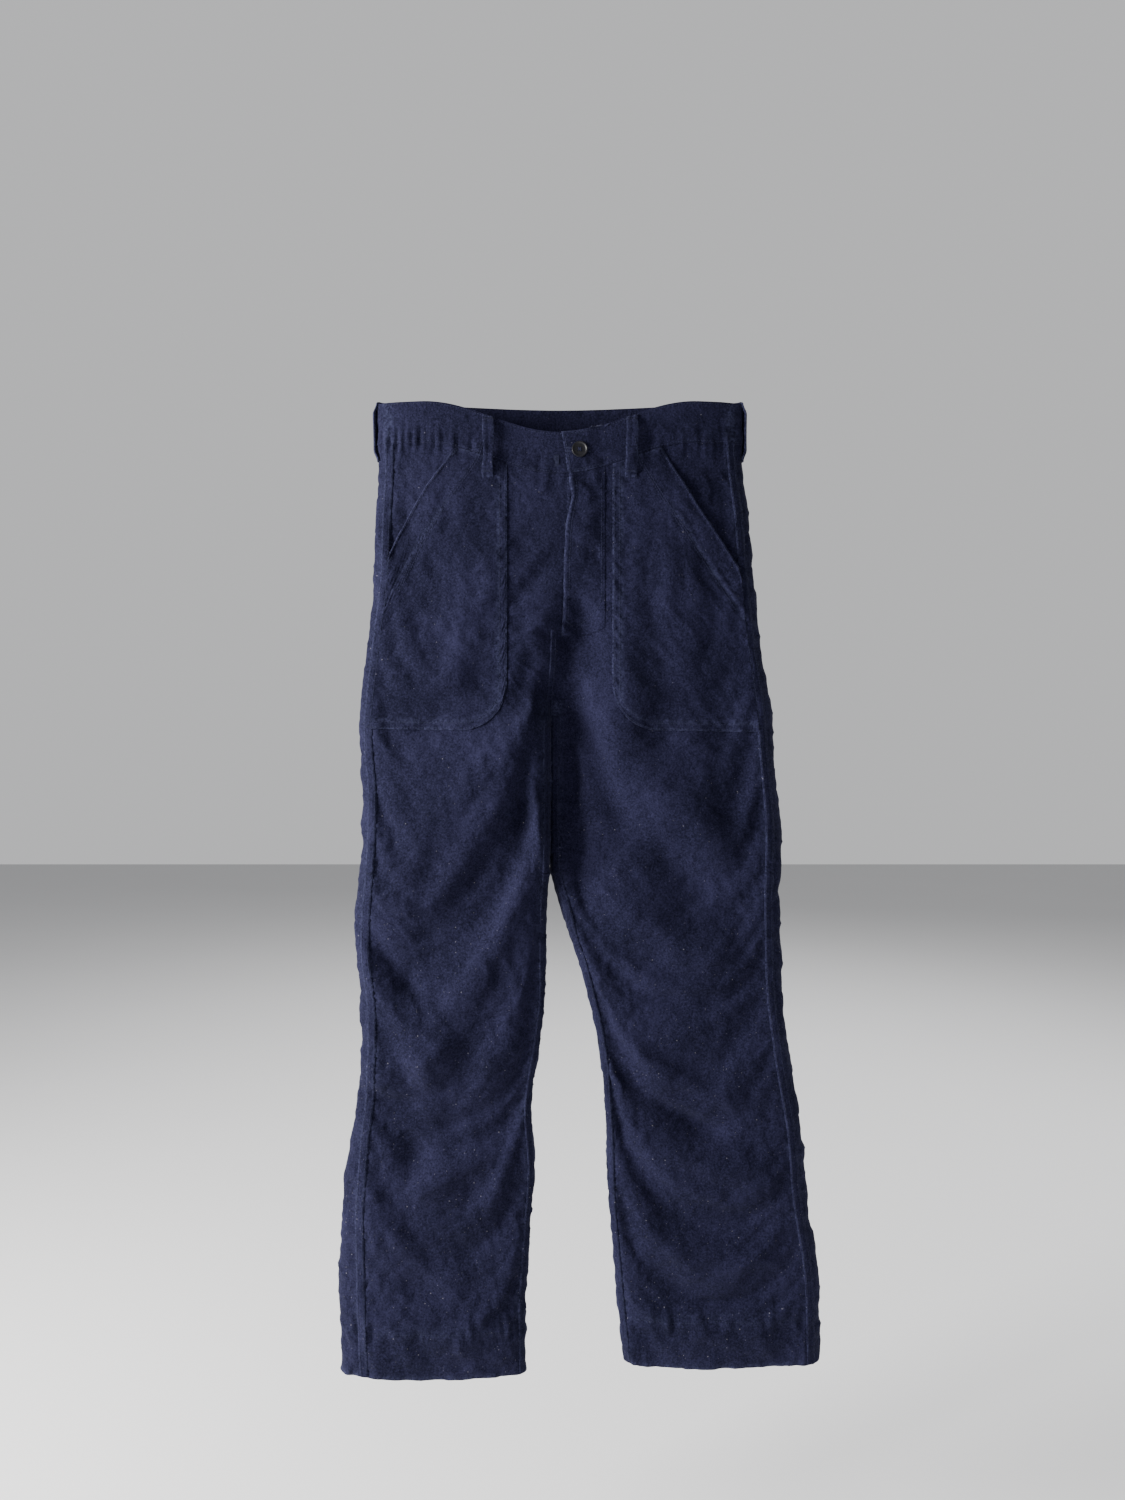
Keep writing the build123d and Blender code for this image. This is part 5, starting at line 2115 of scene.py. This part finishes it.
@dataclass
class Needle:
    """Sews rows of stitches and bar-tacks onto the finished surfaces.

    Attributes:
        surfaces: What the thread lies on, for each face.
        pitch: Distance from one stitch to the next.
        length: Length of one stitch that shows.
        radius: Half the thread's thickness.
        corners: Corners of the thread's section.
        rings: Sections along a stitch, each its share of the length, fatness and height.
        sewn: The stitches of each piece: start, end and upward direction.
    """

    wardrobe: Wardrobe
    surfaces: dict[Face, BVHTree] = field(default_factory=dict)
    pitch: float = 3.1 * MM
    length: float = 2.3 * MM
    radius: float = 0.30 * MM
    corners: int = 6
    rings: tuple[tuple[float, float, float], ...] = (
        (-0.02, 0.25, -0.35), (0.12, 0.85, 0.05), (0.5, 1.0, 0.30), (0.88, 0.85, 0.05), (1.02, 0.25, -0.35))
    sewn: dict[str, list[tuple[Array, Array, Array]]] = field(default_factory=dict)

    def look_at(self, pieces: list[Piece]) -> None:
        """Take the outermost surfaces of these pieces as what to sew on.

        Args:
            pieces: The pieces.
        """
        for face in Face:
            points, polygons = [], []
            for piece in pieces:
                start = len(points)
                mesh = piece.data
                points += [v.co.copy() for v in mesh.vertices]
                polygons += [tuple(i + start for i in p.vertices) for p in mesh.polygons
                             if p.normal.y * face.value > 0.05]
            self.surfaces[face] = BVHTree.FromPolygons(points, polygons)

    def spot(self, x: float, drop: float, face: Face) -> tuple[Array, Array] | None:
        """The outermost surface's point and normal at a place.

        Args:
            x: The place across.
            drop: Its drop.
            face: Front or back.

        Returns:
            The point and normal, or None where there is no cloth.
        """
        origin = Vector((x, face.value * RAY_START, -drop))
        hit, normal, _, _ = self.surfaces[face].ray_cast(origin, Vector((0, -face.value, 0)), RAY_REACH)
        if hit is None or normal.y * face.value < 0.12:
            return None
        return np.array(hit), np.array(normal)

    def row(self, group: str, line: Array, face: Face, pitch: float | None = None) -> None:
        """Sew one row of stitches along a line.

        Args:
            group: The stitches' piece.
            line: Rows of (x, drop).
            face: Which face it is on.
            pitch: Distance between stitches, where it isn't the usual one.
        """
        pitch = pitch or self.pitch
        steps = np.hypot(*np.diff(line, axis=0).T)
        along = np.concatenate([[0], np.cumsum(steps)])
        for middle in np.arange(pitch * 0.6, along[-1] - pitch * 0.4, pitch):
            half = self.length / 2
            ends = [self.spot(*(float(np.interp(s, along, line[:, i])) for i in (0, 1)), face)
                    for s in (middle - half, middle + half)]
            self.stitch(group, ends, 1.8 * self.length)

    def stitch(self, group: str, ends: list[tuple[Array, Array] | None], longest: float) -> None:
        """Sew one stitch, unless an end has no cloth under it or the ends lie too far apart.

        Args:
            group: The stitches' piece.
            ends: The point and normal under each end.
            longest: The greatest length it may have.
        """
        if any(end is None for end in ends):
            return
        (start, up), (end, other_up) = ends
        if np.linalg.norm(start - end) <= longest:
            self.sewn.setdefault(group, []).append((start, end, up + other_up))

    def tack(self, group: str, x: float, drop: float, face: Face, width: float = 11 * MM,
             height: float = 2.0 * MM, turn: float = 0.0) -> None:
        """Sew a dense bar of threads across a place.

        Args:
            group: The stitches' piece.
            x: The place's middle, across.
            drop: Its drop.
            face: Which face it is on.
            width: Length of the bar.
            height: Length of each thread over it.
            turn: How far it is turned, in radians.
        """
        c, s = math.cos(turn), math.sin(turn)
        count = max(4, round(width / (0.75 * MM)))
        for index in range(count):
            a = (index / (count - 1) - 0.5) * width
            ends = [self.spot(x + a * c - b * s, drop + a * s + b * c, face)
                    for b in (-height / 2, height / 2)]
            self.stitch(group, ends, 3 * height)

    def stitch_points(self, stitches: list[tuple[Array, Array, Array]]) -> Array:
        """The points of many stitches, each a short thread that dips at its ends.

        Args:
            stitches: Each one's start, end and upward direction.

        Returns:
            Stitches by rings by corners by three.
        """
        a, b, up = (np.array([stitch[i] for stitch in stitches]) for i in range(3))
        up /= np.linalg.norm(up, axis=1, keepdims=True)
        run = b - a
        size = np.linalg.norm(run, axis=1, keepdims=True)
        run /= size
        side = np.cross(up, run)
        side /= np.linalg.norm(side, axis=1, keepdims=True)
        rise = np.cross(run, side)
        points = np.zeros((len(a), len(self.rings), self.corners, 3))
        for index, (share, fat, high) in enumerate(self.rings):
            middle = a + run * size * share + rise * self.radius * (high + 0.15)
            for k, turn in enumerate(np.arange(self.corners) / self.corners * 2 * math.pi):
                off = side * math.cos(turn) * fat + rise * math.sin(turn) * fat * 0.8
                points[:, index, k] = middle + off * self.radius
        return points

    def stitch_faces(self, count: int) -> list[tuple[int, ...]]:
        """The faces of many stitches.

        Args:
            count: How many stitches.

        Returns:
            The points of each face.
        """
        n = self.corners
        single = [(i * n + k, (i + 1) * n + k, (i + 1) * n + (k + 1) % n, i * n + (k + 1) % n)
                  for i in range(len(self.rings) - 1) for k in range(n)]
        last = (len(self.rings) - 1) * n
        caps = [tuple(range(n)), tuple(last + k for k in reversed(range(n)))]
        starts = range(0, (last + n) * count, last + n)
        return [tuple(v + start for v in f) for start in starts for f in single + caps]

    def finish(self) -> dict[str, Piece]:
        """Turn every group's stitches into one piece of thread.

        Returns:
            The pieces, by name.
        """
        made = {}
        for group, stitches in self.sewn.items():
            points = self.stitch_points(stitches)
            obj = make_object(group, points.reshape(-1, 3), self.stitch_faces(len(stitches)))
            point_outwards(obj)
            self.wardrobe.dress(obj, self.wardrobe.thread, "seam_canvas")
            made[group] = obj
        return made


@dataclass
class Buttons:
    """Dark four-hole buttons, modelled once in each size and set in place.

    Attributes:
        thick: Thickness at the rim.
        hole: Half the width of a thread hole.
        spread: How far the holes are from the middle, across and up.
    """

    tailor: Tailor
    thick: float = 2.9 * MM
    hole: float = 0.95 * MM
    spread: float = 1.75 * MM

    def model(self, name: str, radius: float) -> Piece:
        """Model a button at the origin, its front facing up.

        Args:
            name: Its name.
            radius: Half its width.

        Returns:
            The button.
        """
        deselect()
        bpy.ops.mesh.primitive_cylinder_add(vertices=40, radius=radius, depth=self.thick,
                                            location=(0, 0, self.thick / 2))
        button = bpy.context.active_object
        button.name = name
        bpy.ops.object.transform_apply(location=True, rotation=False, scale=False)
        bpy.ops.object.mode_set(mode="EDIT")
        bpy.ops.mesh.select_mode(type="FACE")
        self.choose_top(button)
        bpy.ops.mesh.inset(thickness=radius * 0.12)
        bpy.ops.mesh.inset(thickness=radius * 0.12)
        bpy.ops.transform.translate(value=(0, 0, -0.85 * MM))
        bpy.ops.mesh.inset(thickness=radius * 0.14)
        bpy.ops.transform.translate(value=(0, 0, -0.15 * MM))
        bpy.ops.object.mode_set(mode="OBJECT")
        bevel = button.modifiers.new("round", "BEVEL")
        bevel.width = 0.45 * MM
        bevel.segments = 3
        bevel.limit_method = "ANGLE"
        bevel.angle_limit = math.radians(28)
        bpy.ops.object.modifier_apply(modifier="round")
        for sx in (-1, 1):
            for sy in (-1, 1):
                self.drill(button, sx * self.spread, sy * self.spread)
        take(button)
        bpy.ops.object.shade_smooth_by_angle(angle=math.radians(40))
        return button

    def choose_top(self, button: Piece) -> None:
        """Select only the button's upper face.

        Args:
            button: The button, in edit mode.
        """
        bpy.ops.object.mode_set(mode="OBJECT")
        top = max(p.center.z for p in button.data.polygons)
        for polygon in button.data.polygons:
            polygon.select = polygon.center.z > top - 1e-6 and polygon.normal.z > 0.9
        bpy.ops.object.mode_set(mode="EDIT")

    def drill(self, button: Piece, x: float, y: float) -> None:
        """Cut one thread hole through the button.

        Args:
            button: The button.
            x: Where the hole is, across.
            y: Where it is, up.
        """
        deselect()
        bpy.ops.mesh.primitive_cylinder_add(vertices=16, radius=self.hole, depth=0.02, location=(x, y, 0))
        bit = bpy.context.active_object
        take(button)
        cut = button.modifiers.new("hole", "BOOLEAN")
        cut.operation = "DIFFERENCE"
        cut.object = bit
        bpy.ops.object.modifier_apply(modifier="hole")
        bpy.data.objects.remove(bit)

    def thread(self, name: str) -> Piece:
        """Model the two crossing threads that hold a button, at the origin.

        Args:
            name: The piece's name.

        Returns:
            The threads, as one piece.
        """
        parts = []
        for turn in (math.pi / 4, -math.pi / 4):
            for offset in (-0.35 * MM, 0.35 * MM):
                deselect()
                bpy.ops.mesh.primitive_cylinder_add(
                    vertices=8, radius=0.33 * MM, depth=self.spread * 2 * 1.41,
                    location=(-offset * math.sin(turn), offset * math.cos(turn), self.thick - 0.75 * MM),
                    rotation=(math.pi / 2, 0, turn + math.pi / 2))
                bar = bpy.context.active_object
                bpy.ops.object.transform_apply(location=True, rotation=True, scale=False)
                bpy.ops.object.mode_set(mode="EDIT")
                bpy.ops.mesh.select_all(action="SELECT")
                bpy.ops.mesh.bevel(offset=0.12 * MM, segments=1)
                bpy.ops.object.mode_set(mode="OBJECT")
                parts.append(bar)
        deselect()
        for part in parts:
            part.select_set(True)
        bpy.context.view_layer.objects.active = parts[0]
        bpy.ops.object.join()
        parts[0].name = name
        return parts[0]

    def set_in_place(self, source: Piece, name: str, spot: Array, normal: Array,
                     material: Material, body: str) -> Piece:
        """Copy a modelled piece onto a place of the cloth.

        Args:
            source: What to copy.
            name: Name of the copy.
            spot: Where its underside's middle goes.
            normal: Where its front looks.
            material: Its finish.
            body: The body it rides on.

        Returns:
            The copy, with its place in its mesh.
        """
        turn = Vector(normal).to_track_quat("Z", "Y").to_matrix().to_4x4()
        turn.translation = Vector(spot)
        mesh = source.data.copy()
        mesh.transform(turn)
        obj = bpy.data.objects.new(name, mesh)
        bpy.context.scene.collection.objects.link(obj)
        set_values(mesh, "wear", np.full(len(mesh.vertices), 0.25))
        self.tailor.wardrobe.dress(obj, material, "button")
        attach(obj, body)
        return obj

    def build(self, fly: Fly, needle: Needle) -> list[Piece]:
        """Model the buttons and set every one.

        Args:
            fly: The fly, which holds the hidden buttons.
            needle: What finds the cloth that a button sits on.

        Returns:
            Every button and its thread.
        """
        large = self.model("button_large", 8.5 * MM)
        small = self.model("button_small", 7.2 * MM)
        thread = self.thread("button_thread")
        wardrobe = self.tailor.wardrobe
        made = []

        def place(node: str, source: Piece, spot: Array, normal: Array) -> None:
            """Set one button and its thread.

            Args:
                node: The solid it stands for.
                source: The button to copy.
                spot: Where its underside's middle goes.
                normal: Where its front looks.
            """
            obj = self.set_in_place(source, node + "_resin", spot, normal, wardrobe.resin, "hips")
            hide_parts(node)
            yarn = self.set_in_place(thread, node + "_thread", spot, normal, wardrobe.thread, "hips")
            made.extend((obj, yarn))

        spot, normal = needle.spot(0.0215, 0.0585, Face.FRONT)
        place("waist_button", large, spot - normal * 0.4 * MM, np.array([0.05, -1.0, 0.02]))
        for index, drop in enumerate(fly.button_drops):
            spot, normal = map(np.array, self.tailor.drape.find(fly.button_x, drop, Face.FRONT))
            place(f"fly_button_{index + 1}", small, spot + normal * 0.2 * MM, normal)
        for side in Side:
            spot, normal = needle.spot(side.value * 0.093, 0.124, Face.BACK)
            spot = spot - normal * 0.5 * MM
            place(f"back_pocket_button_{side.word}", small, spot, np.array([0.0, 1.0, 0.0]))
        for obj in (large, small, thread):
            bpy.data.objects.remove(obj)
        return made


@dataclass
class Needlework:
    """All rows of stitching and bar-tacks, as the trousers are sewn."""

    needle: Needle
    form: HungForm

    def sew_seams(self) -> None:
        """Sew the twin rows down the side seams, inseams, seat seam and front rise, and the hems."""
        for side in Side:
            hem = self.form.hem[side]
            for line, gap, start in ((self.form.side_seam, 0.0029, 0.050), (self.form.inseam, 0.0021, 0.350)):
                for shift in (-gap, gap):
                    for end, top, bottom in (("upper", start, MID_THIGH), ("lower", MID_THIGH, hem - 0.003)):
                        rows = down_line(line, side, top, bottom)
                        rows[:, 0] += shift
                        self.needle.row(f"stitches_{end}_{side.word}", rows, Face.FRONT)
            for face in Face:
                near_hem = np.array(hem - 0.05)
                inner, outer = (float(edge(side, near_hem))
                                for edge in (self.form.inner_edge, self.form.outer_edge))
                x = np.linspace(inner + side.value * 0.002, outer - side.value * 0.001, 60)
                wave = 0.0007 * ripple(x, x * 0, 0.05, 95)
                self.needle.row(f"stitches_hem_{side.word}", path(x, hem - 0.0485 + wave), face)
        for shift in (-0.0026, 0.0026):
            drop = np.linspace(0.05, 0.349, 56)
            self.needle.row("stitches_hips", path(self.form.middle(drop) + 0.001 + shift, drop), Face.BACK)
            drop = np.linspace(0.262, 0.353, 26)
            self.needle.row("stitches_hips", path(self.form.front_rise(drop) + shift * 0.8, drop), Face.FRONT)

    def sew_waistband(self) -> None:
        """Sew the rows along both edges of the waistband."""
        for x in (np.linspace(-0.197, 0.004, 90), np.linspace(0.051, 0.197, 70)):
            for down in (0.0022, self.form.band - 0.0020):
                self.needle.row("stitches_hips", path(x, self.form.sag_at(x) + down), Face.FRONT)
        x = np.linspace(-0.197, 0.197, 150)
        for down in (0.0040, self.form.band + 0.0005):
            self.needle.row("stitches_hips", path(x, np.full_like(x, down)), Face.BACK)

    def sew_fly(self, fly: Fly) -> None:
        """Sew the fly's edge, its stitched line, the tab and the buttonhole.

        Args:
            fly: The fly.
        """
        sag_at, band = self.form.sag_at, self.form.band
        drop = np.linspace(0.090, 0.248, 60)
        rows = [path(smooth_line(fly.edge, drop) + 0.0065, drop)]
        drop = np.concatenate([np.linspace(0.090, 0.215, 40), np.linspace(0.220, 0.250, 14)])
        bend = np.clip((drop - 0.215) / 0.035, 0, 1) ** 2 * 0.030
        rows.append(path(0.0455 - bend, drop))
        x = np.linspace(0.0125, 0.047, 20)
        rows += [path(x, sag_at(x) + down) for down in (0.0025, band - 0.0028)]
        down = np.linspace(0.0035, band - 0.004, 16)
        edge = smooth_line(fly.edge, 0.036 + down) + 0.0028
        rows.append(path(edge, sag_at(edge) + down))
        for row in rows:
            self.needle.row("stitches_fly_flap", row, Face.FRONT)
        for shift in (-0.0017, 0.0017):
            for x in np.arange(0.0075, 0.0335, 0.0009):
                self.needle.tack("stitches_fly_flap", float(x), 0.0585 + shift, Face.FRONT, 0.0008, 1.5 * MM)
        self.needle.tack("stitches_fly_flap", 0.0065, 0.140, Face.FRONT, 7 * MM, 1.6 * MM, 1.35)
        self.needle.tack("stitches_fly_flap", 0.0105, 0.245, Face.FRONT, 9 * MM, 2.0 * MM, 0.6)
        self.needle.tack("stitches_hips", -0.0035, 0.070, Face.FRONT, 5 * MM, 14 * MM)

    def sew_pockets(self, fronts: list[FrontPocket], backs: list[BackPocket]) -> None:
        """Sew the pockets down and tack their corners.

        Args:
            fronts: The front pockets.
            backs: The back pockets.
        """
        for pocket in fronts:
            for line in pocket.stitch_lines():
                self.needle.row("stitches_pockets", line, Face.FRONT)
            sign = pocket.side.value
            x, drop = pocket.outline().top[-1]
            reach = float(between(pocket.outline().outer, 0.35))
            for place, down, width, turn in ((x - 0.006, drop - 0.001, 8 * MM, sign * 1.05),
                                             (0.1135, 0.061, 8 * MM, sign * 0.9),
                                             (reach + 0.001, 0.358, 9 * MM, 0.15)):
                self.needle.tack("stitches_pockets", sign * place, down, Face.FRONT, width, 2.0 * MM, turn)
        for pocket in backs:
            body, flap = pocket.stitch_lines()
            group = f"stitches_back_flap_{pocket.side.word}"
            for line in body:
                self.needle.row("stitches_back_pockets", line, Face.BACK)
            for line in flap:
                self.needle.row(group, line, Face.BACK)
            for shift in (-0.0016, 0.0016):
                for drop in np.arange(0.112, 0.137, 0.0009):
                    self.needle.tack(group, pocket.side.value * 0.093 + shift, float(drop), Face.BACK,
                                     0.0008, 1.5 * MM, math.pi / 2)

    def tack_loops(self, loops: BeltLoops) -> None:
        """Bar-tack both ends of every loop on the front and back."""
        for x, drop, face in loops.tacks:
            self.needle.tack("stitches_hips", x, drop, face, 11.5 * MM, 2.2 * MM)

    def attach(self, joins: dict[Side, LegJoins]) -> dict[str, Piece]:
        """Make the thread pieces and tie each to the body of the cloth it is sewn to; the rows down the legs
        only get their transforms baked.

        Args:
            joins: Each leg's joins, which bake the leg rows' transforms.

        Returns:
            The thread pieces, by name.
        """
        made = self.needle.finish()
        for name, obj in made.items():
            side = next((s for s in Side if name.endswith(s.word)), None)
            if name.startswith("stitches_upper"):
                joins[side].follow_hip(obj)
            elif name.startswith("stitches_lower"):
                joins[side].follow_knee(obj)
            elif name.startswith("stitches_hem"):
                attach(obj, f"shin_{side.word}")
            elif name.startswith("stitches_back_flap"):
                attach(obj, f"back_flap_{side.word}")
            elif name == "stitches_fly_flap":
                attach(obj, "fly_flap")
            else:
                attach(obj, "hips")
        return made


@dataclass(frozen=True)
class FlatSizes:
    """What each piece of cloth measures laid flat, width by length, without its turned edges."""

    upper: Size = (0.245, 0.475)
    lower: Size = (0.235, 0.550)
    band: Size = (0.208, 0.046)
    hem: Size = (0.440, 0.049)
    front_pocket: Size = (0.160, 0.320)
    front_pocket_area: float = 0.040
    fly: Size = (0.048, 0.185)
    tab: Size = (0.048, 0.047)
    underlap: Size = (0.037, 0.153)
    back_pocket: Size = (0.132, 0.160)
    flap: Size = (0.137, 0.062)
    loop: Size = (0.0125, 0.070)

    def declare(self, panels: Panels, seams: Seams, hems: Hems,
                backs: list[BackPocket], threads: dict[str, Piece]) -> None:
        """Look up, for every sheet of cloth, the pieces sewn to it, and keep none of them.

        Args:
            panels: The panels and the waistband.
            seams: The felled seams.
            hems: The hems' turn-ups.
            backs: The back pockets.
            threads: The thread pieces, by name.
        """
        for (part, side, face), obj in panels.pieces.items():
            extra = []
            if face is Face.FRONT and part is Part.UPPER:
                extra = seams.upper[side] + [threads[f"stitches_upper_{side.word}"]]
                if side is Side.RIGHT:
                    extra += [seams.front, threads["stitches_hips"]]
            elif face is Face.FRONT and part is Part.LOWER:
                extra = seams.lower[side] + [threads[f"stitches_lower_{side.word}"]]
            elif part is Part.UPPER and side is Side.RIGHT:
                extra = [seams.seat]
        for side, obj in zip(Side, hems.pieces):
            threads[f"stitches_hem_{side.word}"]
        for index, pocket in enumerate(backs):
            threads[f"stitches_back_flap_{pocket.side.word}"]


def main() -> None:
    """Build the trousers piece by piece."""
    logging.basicConfig(level=logging.INFO, format="%(message)s")
    Studio().build()
    wardrobe = Wardrobe.build()
    form = HungForm()
    joins = {side: LegJoins(side) for side in Side}
    shell = Shell(form)
    shell.build()
    shell.relax()
    shell.refine()
    shell.pucker()
    LOG.info("shell: %d faces", len(shell.obj.data.polygons))
    panels = Panels(shell, wardrobe)
    panels.build()
    panels.attach(joins)
    LOG.info("panels: %d pieces", len(panels.pieces))
    tailor = Tailor(Drape(shell), wardrobe)
    hems = Hems(shell, wardrobe)
    hems.build()
    seams = Seams(tailor, form)
    seams.build(joins)
    fronts = [FrontPocket(tailor, form, side) for side in Side]
    front_pieces = [pocket.build() for pocket in fronts]
    fly = Fly(tailor, form)
    fly.build()
    loops = BeltLoops(tailor, form)
    loops.build()
    backs = [BackPocket(tailor, side) for side in Side]
    for pocket in backs:
        pocket.build()
    LOG.info("sewn on: hems, seams, %d pockets, fly, %d loops", len(fronts + backs), len(loops.pieces))
    needle = Needle(wardrobe)
    outer = list(panels.pieces.values())
    outer += [p for side in Side for p in seams.upper[side] + seams.lower[side]] + [seams.seat, seams.front]
    outer += front_pieces + loops.pieces
    outer += [fly.overlap, fly.tab] + [p for pocket in backs for p in (pocket.body, pocket.flap)]
    needle.look_at(outer)
    work = Needlework(needle, form)
    work.sew_seams()
    work.sew_waistband()
    work.sew_fly(fly)
    work.sew_pockets(fronts, backs)
    work.tack_loops(loops)
    threads = work.attach(joins)
    FlatSizes().declare(panels, seams, hems, backs, threads)
    buttons = Buttons(tailor).build(fly, needle)
    for name, obj in threads.items():
        LOG.info("%s: %d faces", name, len(obj.data.polygons))
    LOG.info("buttons: %d pieces", len(buttons))
    bpy.data.objects.remove(shell.obj)


if __name__ == "__main__":
    main()
